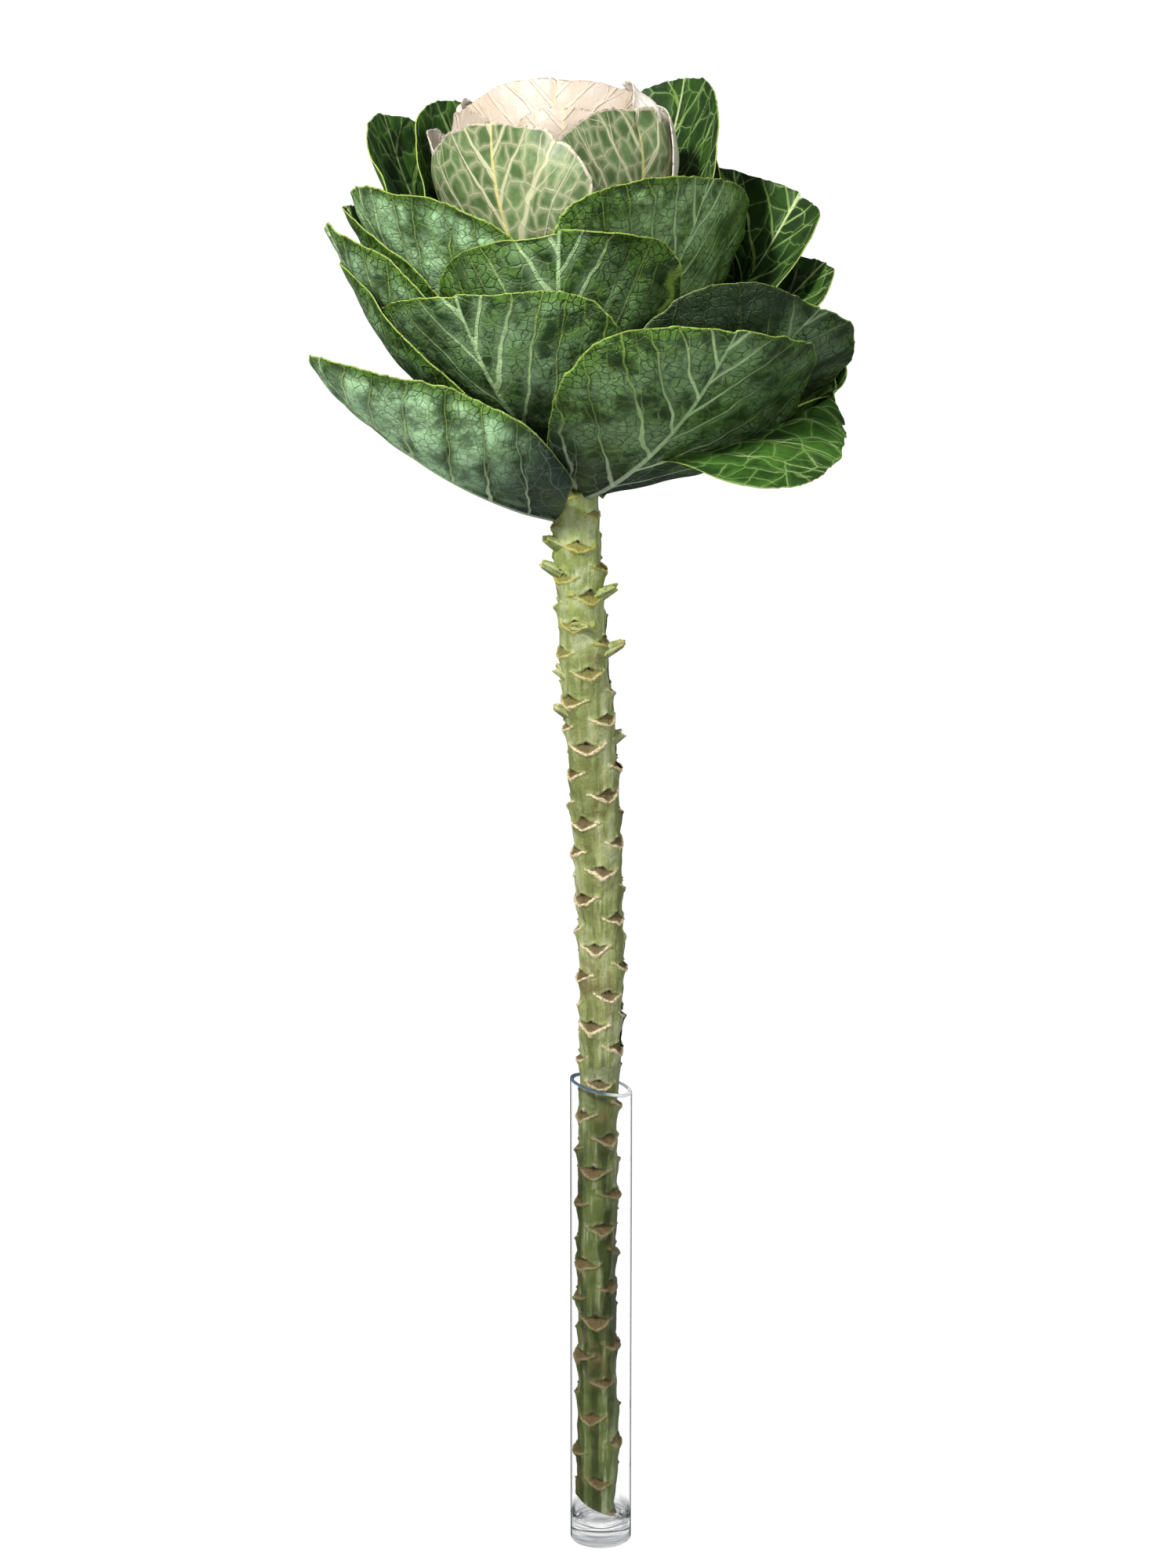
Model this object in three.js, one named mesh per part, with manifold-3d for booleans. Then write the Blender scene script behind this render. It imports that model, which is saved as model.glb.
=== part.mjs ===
// An ornamental cabbage on its long cut stem, standing in a clear glass tube vase.
// Millimetres, +Z up. The origin is the centre of the vase's underside. Azimuth 0 is +X and 90 is +Y.
import * as THREE from "three";
import { mergeVertices } from "three/addons/utils/BufferGeometryUtils.js";
import Module from "manifold-3d";

const wasm = await Module();
wasm.setup();
const { Manifold, Mesh: SolidMesh } = wasm;

// ---- driving dimensions ----
const VASE = { radius: 16.6, wall: 2, height: 258, foot: 7.5, bowl: 9, edge: 1, rimSlope: 0.24, sides: 36 };
const STEM_SIDES = 18;
const STEM_CUT = 0.55; // how steeply the lower end of the stem is cut
// The stem's centreline and girth: height, sideways place x, place y, diameter.
const STEM = [
  [20, -3.4, -1, 21.5],
  [40, -2, 0, 23],
  [95, -2, 0, 22],
  [175, -2.1, 0, 21],
  [258, -1, 0, 21.6],
  [317, 0, -0.5, 23.5],
  [375, -1.6, -1.5, 25.4],
  [440, -5, -3, 26.4],
  [500, -10, -4, 25],
  [555, -13, -5, 24.5],
  [600, -16, -5.5, 23],
  [640, -19, -6, 19],
  [680, -22, -6, 12],
  [700, -24, -6, 6],
];
// Stubs of leaf stalks that broke off below the head: height, azimuth, how far each one stands out.
const STUBS = [
  [548, 196, 5],
  [534, 182, 7],
  [541, 70, 5],
  [522, -8, 7],
  [512, 120, 5],
  [505, -96, 3],
  [492, -4, 9],
  [481, 178, 3],
  [470, 60, 5],
  [460, 186, 5],
  [446, 8, 4],
];

const LEAF_THICKNESS = 0.8;
const RIB_DEPTH = 2.8; // how far the midrib stands out of the underside at the base
const HEART_THICKNESS = 0.7;
const HEART_RIB_DEPTH = 1.2;
const LEAF_ROWS = 9;
const ACROSS = [-1, -0.68, -0.36, -0.08, 0, 0.08, 0.36, 0.68, 1]; // where the columns of a green leaf lie
const HEART_ROWS = 8;
const HEART_ACROSS = [-1, -0.62, -0.1, 0, 0.1, 0.62, 1];
const CLEAR = 0.9; // from the stem's skin to the middle of a leaf
// Least distance between the middles of two leaves that lie on each other.
const SPACING = 4;
const HEART_SPACING = 2.2;
const REACH = 26; // how deep in another leaf a point may be and still be moved out of it
const PASSES = 6;
const GAP = 0.3; // left between pieces that would touch

// ---- leaves ----
// at: height where the stalk leaves the stem; tip: where the midrib ends; bow: half the turn of the midrib
// on its way there, positive when it curls up; width: half widths [v < 0, v > 0], v > 0 being to the left
// of the way out; wide: how far along it is widest; base: how each half opens out of the stalk, small for
// quickly; blunt: 2 for a round end, more for a squarer one; cup, lip: how far each half turns up, and back
// again at its margin; fold: crease along the midrib; roll: turn about the midrib at base and end; layer:
// set where a leaf lies outside others that leave the stem below it; beside: one it never lies against.
// Angles in degrees.
const USUAL = {
  bow: 18, width: [60, 60], wide: 0.58, base: [0.5, 0.5], blunt: 2.2, cup: [40, 40], lip: [0, 0],
  fold: 0, roll: [0, 0], stalk: 7,
};
const LEAVES = [
  { name: "leaf_01", at: 562, tip: [-146, -35, 644], bow: 20, width: [60, 70], wide: 0.42,
    base: [0.35, 0.3], blunt: 1.7, cup: [60, 60], roll: [4, 10] },
  { name: "leaf_02", at: 580, tip: [90, 75, 669], bow: 14, width: [66, 66] },
  { name: "leaf_03", at: 582, tip: [-42, 82, 677], bow: 16, width: [54, 54] },
  { name: "leaf_04", at: 574, tip: [64, -98, 657], width: [64, 80], base: [0.5, 0.7], blunt: 2.6,
    cup: [30, 28], fold: 4, roll: [-8, -10] },
  { name: "leaf_05", at: 585, layer: 565, beside: "leaf_04", tip: [102, -1, 651], bow: -10, width: [94, 58],
    wide: 0.56, base: [2.2, 0.8], blunt: 2.6, cup: [0, 25], roll: [6, 52], stalk: 6 },
  { name: "leaf_06", at: 588, tip: [32, 92, 673], bow: 16, width: [60, 60] },
  { name: "leaf_07", at: 593, tip: [106, -60, 667], bow: 14, width: [66, 72], base: [0.8, 0.7],
    blunt: 2.6, cup: [30, 16], roll: [-12, -24] },
  { name: "leaf_08", at: 590, tip: [-131, 0, 691], bow: 20, width: [56, 56], cup: [50, 50] },
  { name: "leaf_09", at: 592, tip: [-71, -87, 674], width: [68, 72], wide: 0.62, blunt: 2.6,
    cup: [36, 40], roll: [0, 5] },
  { name: "leaf_10", at: 598, tip: [80, 65, 707], width: [66, 66] },
  { name: "leaf_11", at: 601, tip: [114, 7, 690], bow: 12, width: [50, 66], cup: [20, 55], roll: [18, 20] },
  { name: "leaf_12", at: 604, tip: [-136, -30, 707], bow: 20, width: [56, 52], cup: [45, 36] },
  { name: "leaf_13", at: 606, tip: [-34, 80, 707], width: [54, 54] },
  { name: "leaf_14", at: 611, tip: [-22, -89, 706], width: [60, 64], wide: 0.62, blunt: 2.6, cup: [38, 40] },
  { name: "leaf_15", at: 612, tip: [-130, 5, 717], bow: 16, width: [56, 56], cup: [45, 45] },
  { name: "leaf_16", at: 614, tip: [102, 30, 724], bow: 14, width: [46, 94], wide: 0.64, blunt: 2.4,
    cup: [45, 50], roll: [24, 30] },
  { name: "leaf_17", at: 618, tip: [-120, -39, 725], bow: 20, width: [52, 80], base: [0.5, 0.3],
    cup: [55, 34], roll: [26, 4] },
  { name: "leaf_18", at: 627, tip: [34, 66, 751], bow: 14 },
  { name: "leaf_19", at: 626, tip: [51, -45, 730], bow: 15, width: [84, 86], blunt: 2.8, cup: [42, 22],
    lip: [0, 20] },
  { name: "leaf_20", at: 630, tip: [-113, 40, 765], width: [66, 58], blunt: 2, cup: [32, 32] },
  { name: "leaf_21", at: 634, tip: [43, 50, 784], bow: 14, width: [60, 58], blunt: 2, cup: [24, 35],
    fold: 6 },
  { name: "leaf_22", at: 638, tip: [-72, 53, 771], bow: 16, width: [56, 56], blunt: 2.6 },
  { name: "heart_leaf_01", at: 643, tip: [-53, -47, 756], bow: 22, width: [62, 54], base: [0.4, 0.4],
    blunt: 2.6, cup: [44, 28] },
  { name: "heart_leaf_02", at: 650, tip: [-86, 13, 756], bow: 20, width: [26, 26], cup: [50, 50] },
  { name: "heart_leaf_03", at: 647, tip: [13, 17, 767], bow: 20, width: [38, 38], cup: [50, 50] },
  { name: "heart_leaf_04", at: 653, tip: [13, -25, 763], bow: 20, width: [62, 46], blunt: 2.4,
    cup: [34, 46] },
  { name: "heart_leaf_05", at: 657, tip: [-68, -17, 763], bow: 20, width: [44, 44], blunt: 3 },
  { name: "heart_leaf_06", at: 660, tip: [-20, 33, 773], bow: 20, width: [38, 38], cup: [50, 50] },
  { name: "heart_leaf_07", at: 664, tip: [-58, 14, 765], bow: 20, width: [36, 36], blunt: 2.4,
    cup: [50, 50] },
  { name: "heart_leaf_08", at: 667, tip: [-19, -33, 765], width: [34, 34], blunt: 2.6, cup: [50, 50] },
  { name: "heart_leaf_09", at: 670, tip: [8, 7, 774], bow: 20, width: [30, 30], cup: [50, 50], blunt: 3 },
  { name: "heart_leaf_10", at: 675, tip: [-23, -19, 778], bow: 24, width: [58, 58], wide: 0.7,
    blunt: 3.2, cup: [46, 46] },
  { name: "heart_leaf_11", at: 681, tip: [-34, 3, 769], bow: 24, width: [18, 18], cup: [60, 60] },
  { name: "heart_leaf_12", at: 685, tip: [-18, -3, 767], bow: 24, width: [16, 16], cup: [60, 60] },
  { name: "heart_leaf_13", at: 689, tip: [-28, 7, 765], bow: 24, width: [15, 15], cup: [60, 60] },
];

const { sin, cos, abs, max, min, hypot, PI } = Math;
const radians = THREE.MathUtils.degToRad;
const mix = THREE.MathUtils.lerp;

// Where the stem is at a height: [x, y, diameter].
function stemAt(z) {
  let i = 0;
  while (i < STEM.length - 2 && z > STEM[i + 1][0]) i++;
  const [low, high] = [STEM[i], STEM[i + 1]];
  const t = min(max((z - low[0]) / (high[0] - low[0]), 0), 1);
  return [1, 2, 3].map((k) => mix(low[k], high[k], t));
}

// The midrib of a leaf as a fine run of points, each with its three directions.
function midrib(leaf) {
  const [sx, sy, diameter] = stemAt(leaf.at);
  const azimuth = Math.atan2(leaf.tip[1] - sy, leaf.tip[0] - sx);
  const reach = diameter / 2 + CLEAR;
  const base = new THREE.Vector3(sx + reach * cos(azimuth), sy + reach * sin(azimuth), leaf.at);
  const chord = new THREE.Vector3(...leaf.tip).sub(base);
  const bow = radians(leaf.bow);
  const length = chord.length() * (bow / sin(bow));
  const slope = Math.asin(chord.z / chord.length());
  const across = new THREE.Vector3(-sin(azimuth), cos(azimuth), 0);
  const steps = 80;
  const points = [];
  const place = base.clone();
  for (let i = 0; i <= steps; i++) {
    const t = i / steps;
    const e = slope + bow * (2 * t - 1);
    const along = new THREE.Vector3(cos(e) * cos(azimuth), cos(e) * sin(azimuth), sin(e));
    if (i) place.addScaledVector(along.clone().add(points[i - 1].along), (0.5 * length) / steps);
    const up = along.clone().cross(across);
    const roll = radians(mix(...leaf.roll, t));
    const side = across.clone().multiplyScalar(cos(roll)).addScaledVector(up, sin(roll));
    const inward = up.multiplyScalar(cos(roll)).addScaledVector(across, -sin(roll));
    points.push({ place: place.clone(), along, side, inward });
  }
  return points;
}

// A point of the leaf's middle surface, u from stalk to tip and v across from margin to margin.
function leafPoint(leaf, run, u, v) {
  const half = v < 0 ? 0 : 1;
  const opening = sin((PI / 2) * min(u / leaf.wide, 1)) ** leaf.base[half];
  const closing = (1 - max((u - leaf.wide) / (1 - leaf.wide), 0) ** leaf.blunt) ** (1 / leaf.blunt);
  const width = u < leaf.wide
    ? leaf.stalk + (leaf.width[half] - leaf.stalk) * opening
    : max(leaf.width[half] * closing, 2.5);
  const steps = 24;
  let out = 0;
  let up = 0;
  for (let i = 0; i < steps; i++) {
    const q = ((i + 0.5) / steps) * abs(v);
    const turn = radians(leaf.fold + leaf.cup[half] * q - leaf.lip[half] * q ** 4);
    out += (cos(turn) * abs(v)) / steps;
    up += (sin(turn) * abs(v)) / steps;
  }
  const at = min(u, 1) * (run.length - 1);
  const i = min(Math.floor(at), run.length - 2);
  const blend = (key) => run[i][key].clone().lerp(run[i + 1][key], at - i);
  return blend("place")
    .addScaledVector(blend("side"), Math.sign(v) * width * out)
    .addScaledVector(blend("inward"), width * up);
}

// The net of points that carries a leaf: rows[i][j], even steps in v but closer together near the tip.
function leafNet(leaf, rows, across) {
  const run = midrib(leaf);
  return Array.from({ length: rows + 1 }, (_, i) => {
    const u = 1 - (1 - i / rows) ** 1.35;
    return across.map((v) => leafPoint(leaf, run, u, v));
  });
}

// Directions that point to the upper, inward face at each point of a net.
function netNormals(net) {
  const last = [net.length - 1, net[0].length - 1];
  return net.map((row, i) => row.map((_, j) => {
    const along = net[min(i + 1, last[0])][j].clone().sub(net[max(i - 1, 0)][j]);
    const across = net[i][min(j + 1, last[1])].clone().sub(net[i][max(j - 1, 0)]);
    return along.cross(across).normalize();
  }));
}

// Leaves lie on each other. Where a leaf would pass through one nearer the heart, or come closer than
// spacing, it is moved out: first its own points, then wherever the inner leaf would poke through it.
function pressOut(net, inner, spacing) {
  net.slice(1).forEach((row) => row.forEach((point) => {
    const [sx, sy, diameter] = stemAt(point.z);
    const off = hypot(point.x - sx, point.y - sy);
    const least = point.z < STEM.at(-1)[0] + 4 ? diameter / 2 + CLEAR : 0;
    if (off < least) {
      point.x = sx + ((point.x - sx) * least) / off;
      point.y = sy + ((point.y - sy) * least) / off;
    }
  }));
  const box = new THREE.Box3().setFromPoints(net.flat()).expandByScalar(spacing);
  for (const { samples } of inner) {
    const near = samples.filter((sample) => box.containsPoint(sample.place));
    if (!near.length) continue;
    for (const point of net.flat()) {
      const { sample, above, aside } = nearestSample(point, near);
      if (above > -spacing && above < REACH && aside < 9) {
        point.addScaledVector(sample.inward, -(above + spacing) * min(1, (9 - aside) / 4));
      }
    }
    const own = netSamples(net, 2);
    const moves = net.map((row) => row.map(() => ({ far: 0, way: null })));
    for (const { place } of near) {
      const { sample, above, aside } = nearestSample(place, own);
      if (above >= spacing || above < -REACH || aside > 6) continue;
      for (const [i, j] of sample.corners) {
        if (spacing - above > moves[i][j].far) moves[i][j] = { far: spacing - above, way: sample.inward };
      }
    }
    moves.forEach((row, i) => row.forEach(({ far, way }, j) => far && net[i][j].addScaledVector(way, -far)));
  }
}

function nearestSample(point, samples) {
  let sample = null;
  let nearest = Infinity;
  for (const candidate of samples) {
    const d = candidate.place.distanceToSquared(point);
    if (d < nearest) [nearest, sample] = [d, candidate];
  }
  const above = point.clone().sub(sample.place).dot(sample.inward);
  return { sample, above, aside: Math.sqrt(max(nearest - above * above, 0)) };
}

function smooth(net, original) {
  const shift = net.map((row, i) => row.map((p, j) => p.clone().sub(original[i][j])));
  net.forEach((row, i) => row.forEach((p, j) => {
    if (i === 0) return;
    const near = [[i - 1, j], [i + 1, j], [i, j - 1], [i, j + 1]].map(([a, b]) => shift[a]?.[b]);
    const found = near.filter(Boolean);
    const mean = new THREE.Vector3();
    found.forEach((s) => mean.addScaledVector(s, 1 / found.length));
    p.copy(original[i][j]).add(shift[i][j].clone().lerp(mean, 0.5));
  }));
}

// The net again as many closely spaced points with directions, for others to lie against.
function netSamples(net, parts) {
  const normals = netNormals(net);
  const samples = [];
  for (let i = 0; i + 1 < net.length; i++) {
    for (let j = 0; j + 1 < net[0].length; j++) {
      for (let a = 0; a < parts; a++) {
        for (let b = 0; b < parts; b++) {
          const [s, t] = [(a + 0.5) / parts, (b + 0.5) / parts];
          const at = (grid) => grid[i][j].clone().lerp(grid[i + 1][j], s)
            .lerp(grid[i][j + 1].clone().lerp(grid[i + 1][j + 1], s), t);
          const corners = [[i, j], [i + 1, j], [i, j + 1], [i + 1, j + 1]];
          samples.push({ place: at(net), inward: at(normals).normalize(), corners });
        }
      }
    }
  }
  return samples;
}

// A closed solid round a net of points: the upper face on the net's inward side and the midrib below.
// Grow makes it larger all round.
function leafSolid(net, across, thickness, ribDepth, grow = 0) {
  const normals = netNormals(net);
  const rows = net.length - 1;
  const columns = across.length - 1;
  const geometry = new THREE.BoxGeometry(1, 1, 1, rows, columns, 1);
  geometry.deleteAttribute("uv");
  geometry.deleteAttribute("normal");
  const solid = mergeVertices(geometry, 1e-4);
  const position = solid.attributes.position;
  for (let k = 0; k < position.count; k++) {
    const i = Math.round((position.getX(k) + 0.5) * rows);
    const j = Math.round((position.getY(k) + 0.5) * columns);
    const upper = position.getZ(k) > 0;
    const rib = across[j] === 0 ? ribDepth * (1 - i / rows) : 0;
    const depth = upper ? thickness / 2 + grow : -thickness / 2 - rib - grow;
    const p = net[i][j].clone().addScaledVector(normals[i][j], depth);
    const beside = net[min(max(i, 1), rows - 1)][min(max(j, 1), columns - 1)];
    if (grow) p.addScaledVector(net[i][j].clone().sub(beside).normalize(), 2 * grow);
    position.setXYZ(k, p.x, p.y, p.z);
  }
  return solid;
}

// ---- stem ----
function toManifold(geometry) {
  const merged = mergeVertices(geometry, 1e-4);
  return new Manifold(new SolidMesh({
    numProp: 3,
    vertProperties: Float32Array.from(merged.attributes.position.array),
    triVerts: Uint32Array.from(merged.index.array),
  }));
}

function fromManifold(solid) {
  const mesh = solid.getMesh();
  const geometry = new THREE.BufferGeometry();
  geometry.setAttribute("position", new THREE.BufferAttribute(mesh.vertProperties, 3));
  geometry.setIndex(new THREE.BufferAttribute(mesh.triVerts, 1));
  return geometry;
}

function stripped(geometry) {
  geometry.deleteAttribute("uv");
  geometry.deleteAttribute("normal");
  return geometry;
}

// The stem as a solid. Grow makes it thicker all round.
function stemSolid(grow = 0) {
  const heights = STEM.map((row) => row[0]);
  const profile = [new THREE.Vector2(0, heights[0])];
  for (const z of heights) profile.push(new THREE.Vector2(stemAt(z)[2] / 2 + grow, z));
  profile.push(new THREE.Vector2(0, heights.at(-1) + 3 + grow));
  const lathe = stripped(new THREE.LatheGeometry(profile, STEM_SIDES));
  lathe.rotateX(PI / 2);
  lathe.scale(1, -1, 1);
  const position = lathe.attributes.position;
  for (let k = 0; k < position.count; k++) {
    const [x, y, z] = [position.getX(k), position.getY(k), position.getZ(k)];
    const [sx, sy] = stemAt(z);
    const cut = z < heights[0] + 1 ? -STEM_CUT * x : 0;
    position.setXYZ(k, x + sx, y + sy, z + cut);
  }
  let solid = toManifold(flipIfInside(lathe));
  for (const [z, azimuth, out] of STUBS) {
    const [sx, sy, diameter] = stemAt(z);
    const stub = stripped(new THREE.CylinderGeometry(2.2 + grow, 4.2 + grow, out + 7, 8));
    stub.rotateZ(-PI / 2);
    stub.scale(1, 1.7, 0.8);
    stub.translate(diameter / 2 + out / 2 - 3.5, 0, 0);
    stub.rotateY(-0.45);
    stub.rotateZ(radians(azimuth));
    stub.translate(sx, sy, z);
    solid = solid.add(toManifold(stub));
  }
  return solid;
}

// Lathe and mirror steps can leave a shell inside out; its volume tells.
function flipIfInside(geometry) {
  const merged = mergeVertices(geometry, 1e-4);
  const position = merged.attributes.position;
  const index = merged.index.array;
  const [a, b, c] = [new THREE.Vector3(), new THREE.Vector3(), new THREE.Vector3()];
  let volume = 0;
  const kept = [];
  for (let k = 0; k < index.length; k += 3) {
    const ids = [index[k], index[k + 1], index[k + 2]];
    if (new Set(ids).size < 3) continue;
    kept.push(...ids);
    [a, b, c].forEach((p, n) => p.fromBufferAttribute(position, ids[n]));
    volume += a.dot(b.cross(c));
  }
  if (volume < 0) {
    for (let k = 0; k < kept.length; k += 3) [kept[k], kept[k + 1]] = [kept[k + 1], kept[k]];
  }
  merged.setIndex(kept);
  return merged;
}

// ---- vase ----
function vaseGeometry() {
  const { radius, wall, height, foot, bowl, edge } = VASE;
  const bore = radius - wall;
  const profile = [[0, 0], [radius - edge, 0]];
  for (const a of [30, 60, 90]) {
    profile.push([radius - edge + edge * sin(radians(a)), edge - edge * cos(radians(a))]);
  }
  profile.push([radius, 60], [radius, 130], [radius, 200], [radius, height - 0.8]);
  profile.push([radius - 0.5, height], [bore + 0.5, height], [bore, height - 0.8]);
  profile.push([bore, 200], [bore, 130], [bore, 60]);
  for (const a of [90, 70, 50, 30, 14]) {
    profile.push([bore * sin(radians(a)), foot + bowl - bowl * cos(radians(a))]);
  }
  profile.push([0, foot]);
  const lathe = stripped(
    new THREE.LatheGeometry(profile.map(([r, z]) => new THREE.Vector2(r, z)), VASE.sides),
  );
  lathe.rotateX(PI / 2);
  const position = lathe.attributes.position;
  for (let k = 0; k < position.count; k++) {
    const z = position.getZ(k);
    const lift = max(z - 200, 0) / (height - 200);
    position.setZ(k, z - VASE.rimSlope * position.getX(k) * lift);
  }
  return flipIfInside(lathe);
}

// ---- assembly ----
const MATERIALS = {
  leaf_green: { color: 0x3f6b3a, roughness: 0.55 },
  leaf_heart: { color: 0xe6dcc3, roughness: 0.6 },
  stem: { color: 0x8a9a5b, roughness: 0.65 },
  vase_glass: { color: 0xe9f0f0, roughness: 0.05 },
};

function material(slot) {
  const made = new THREE.MeshStandardMaterial({ ...MATERIALS[slot], metalness: 0 });
  made.name = slot;
  return made;
}

const part = new THREE.Group();
part.name = "ornamental_cabbage";

function place(name, geometry, slot) {
  geometry.computeVertexNormals();
  const mesh = new THREE.Mesh(geometry, material(slot));
  mesh.name = name;
  part.add(mesh);
}

place("vase", vaseGeometry(), "vase_glass");
const stem = { leaf: { name: "stem" }, solid: stemSolid(), wide: stemSolid(GAP), samples: [] };
place("stem", fromManifold(stem.solid), "stem");

// From the heart outward, each leaf is laid against those already placed. Whatever it still shares with
// one of them, or with the stem, is cut away from it, with a gap.
const order = LEAVES.map((leaf) => ({ ...USUAL, ...leaf, heart: leaf.name.startsWith("heart") }))
  .sort((a, b) => (b.layer ?? b.at) - (a.layer ?? a.at));
const placed = [];
for (const leaf of order) {
  const across = leaf.heart ? HEART_ACROSS : ACROSS;
  const rows = leaf.heart ? HEART_ROWS : LEAF_ROWS;
  const thickness = leaf.heart ? HEART_THICKNESS : LEAF_THICKNESS;
  const rib = leaf.heart ? HEART_RIB_DEPTH : RIB_DEPTH;
  if (leaf.heart) leaf.stalk = leaf.at > 675 ? 3 : 4.5;
  const original = leafNet(leaf, rows, across);
  const net = original.map((row) => row.map((p) => p.clone()));
  for (let pass = 0; pass < PASSES; pass++) {
    const inner = placed.filter((other) => other.leaf.name !== leaf.beside);
    pressOut(net, inner, leaf.heart ? HEART_SPACING : SPACING);
    if (pass < PASSES - 1) smooth(net, original);
  }
  let solid = toManifold(leafSolid(net, across, thickness, rib));
  let trimmed = false;
  for (const other of [stem, ...placed]) {
    if (solid.intersect(other.solid).volume() > 0.002) {
      solid = solid.subtract(other.wide);
      trimmed = true;
    }
  }
  if (trimmed) solid = solid.decompose().sort((a, b) => b.volume() - a.volume())[0];
  const wide = toManifold(leafSolid(net, across, thickness, rib, GAP));
  placed.push({ leaf, solid, wide, samples: netSamples(net, 3) });
}
placed.sort((a, b) => a.leaf.name.localeCompare(b.leaf.name));
for (const { leaf, solid } of placed) {
  place(leaf.name, fromManifold(solid), leaf.heart ? "leaf_heart" : "leaf_green");
}

export default part;
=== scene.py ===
# An ornamental cabbage on its long cut stem, standing in a clear glass tube vase.
from math import pi, radians

import bmesh
import bpy
import numpy as np
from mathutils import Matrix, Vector


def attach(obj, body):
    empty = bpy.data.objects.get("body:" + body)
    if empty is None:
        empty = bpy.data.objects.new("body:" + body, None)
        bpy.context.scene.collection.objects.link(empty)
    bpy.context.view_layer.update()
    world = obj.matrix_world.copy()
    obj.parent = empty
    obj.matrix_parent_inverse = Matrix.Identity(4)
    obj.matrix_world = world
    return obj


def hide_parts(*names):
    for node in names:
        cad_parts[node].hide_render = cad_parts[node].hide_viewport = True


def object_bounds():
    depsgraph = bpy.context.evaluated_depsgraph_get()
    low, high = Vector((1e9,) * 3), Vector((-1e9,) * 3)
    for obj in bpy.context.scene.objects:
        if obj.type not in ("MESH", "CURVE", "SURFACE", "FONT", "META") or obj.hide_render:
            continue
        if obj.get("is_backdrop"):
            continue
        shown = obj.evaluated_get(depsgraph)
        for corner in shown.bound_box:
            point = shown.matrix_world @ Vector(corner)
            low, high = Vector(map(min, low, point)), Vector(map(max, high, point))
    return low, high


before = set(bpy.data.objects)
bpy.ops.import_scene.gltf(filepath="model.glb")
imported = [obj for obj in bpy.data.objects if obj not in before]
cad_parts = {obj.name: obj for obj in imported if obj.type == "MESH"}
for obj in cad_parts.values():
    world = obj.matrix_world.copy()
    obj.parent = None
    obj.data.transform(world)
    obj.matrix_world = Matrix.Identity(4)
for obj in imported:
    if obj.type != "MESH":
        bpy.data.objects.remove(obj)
cad_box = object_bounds()
MM = 0.001

# ---- the plant's own numbers, in millimetres and degrees ----
# The stem's centreline and girth: height, sideways place x, place y, diameter.
STEM = np.array([
    (20, -3.4, -1, 21.5), (40, -2, 0, 23), (95, -2, 0, 22), (175, -2.1, 0, 21), (258, -1, 0, 21.6),
    (317, 0, -0.5, 23.5), (375, -1.6, -1.5, 25.4), (440, -5, -3, 26.4), (500, -10, -4, 25),
    (555, -13, -5, 24.5), (600, -16, -5.5, 23), (640, -19, -6, 19), (680, -22, -6, 12), (700, -24, -6, 6),
])
STEM_CUT = 0.55
# Stubs of broken leaf stalks: height, azimuth, how far each one stands out.
STUBS = [
    (548, 196, 5), (534, 182, 7), (541, 70, 5), (522, -8, 7), (512, 120, 5), (505, -96, 3),
    (492, -4, 9), (481, 178, 3), (470, 60, 5), (460, 186, 5), (446, 8, 4),
]
VASE = dict(radius=16.6, wall=2, height=258, foot=7.5, bowl=9, edge=1.4, slope=0.24)

LEAF_ROWS = 9
LEAF_ACROSS = np.array([-1, -0.68, -0.36, -0.08, 0, 0.08, 0.36, 0.68, 1])
HEART_ROWS = 8
HEART_ACROSS = np.array([-1, -0.62, -0.1, 0, 0.1, 0.62, 1])
ROW_POWER = 1.35  # how much closer the rows of a net lie towards the tip
MIDRIB_STEPS = 80  # from base to tip, and a few more past it
MIDRIB_PAST = 8
CLEAR = 0.9  # from the stem's skin to the middle of a leaf
LEAF_SPACING = 4  # least distance between two leaves that lie on each other
HEART_SPACING = 2.2
REACH = 26  # how deep in another leaf a point may be and still be moved out of it
BESIDE = 9  # how far to the side of another leaf a point still keeps clear of it
BESIDE_OWN = 6  # the same for the other leaf's points beside this one
PASSES = 6
FLAT_SPAN = 200  # millimetres of leaf in one unit of its flat map

# What a leaf is like unless its row says otherwise. Of two numbers the first is for its right half, seen
# on the way out, and the second for its left; one number is for both.
# at: height where the stalk leaves the stem; tip: where the midrib ends; bow: half the turn of the midrib;
# width: half widths; wide: how far along it is widest; base: how it opens; blunt: 2 for a round end; cup
# and lip: how it turns up, and back at its margin; fold: crease along the midrib; roll: turn about the
# midrib at base and end; layer: set where a leaf lies outside others that leave the stem below it; beside:
# one it never lies against; veins: how many side veins; lean, spread, curve: their course; ruffle: of the
# margin; bloom_and_light: waxy powder on a green leaf, laid on most over its bulges and so partly a painted
# sheen, and on a heart leaf a paler cream that is painted light on leaves standing in shade; painted_shade:
# painted shade that darkens the whole leaf; painted_side_shade: the same painted shade, near each margin;
# yellow, green: share of that colour.
USUAL = dict(
    bow=18, width=60, wide=0.58, base=0.5, blunt=2.2, cup=40, lip=0, fold=0,
    roll=(0, 0), stalk=7, veins=8, lean=0.55, spread=0.5, curve=0.25, ruffle=1.6, bloom_and_light=0.5, painted_shade=0,
    yellow=0.3, green=0, painted_side_shade=(0, 0),
)
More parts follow.
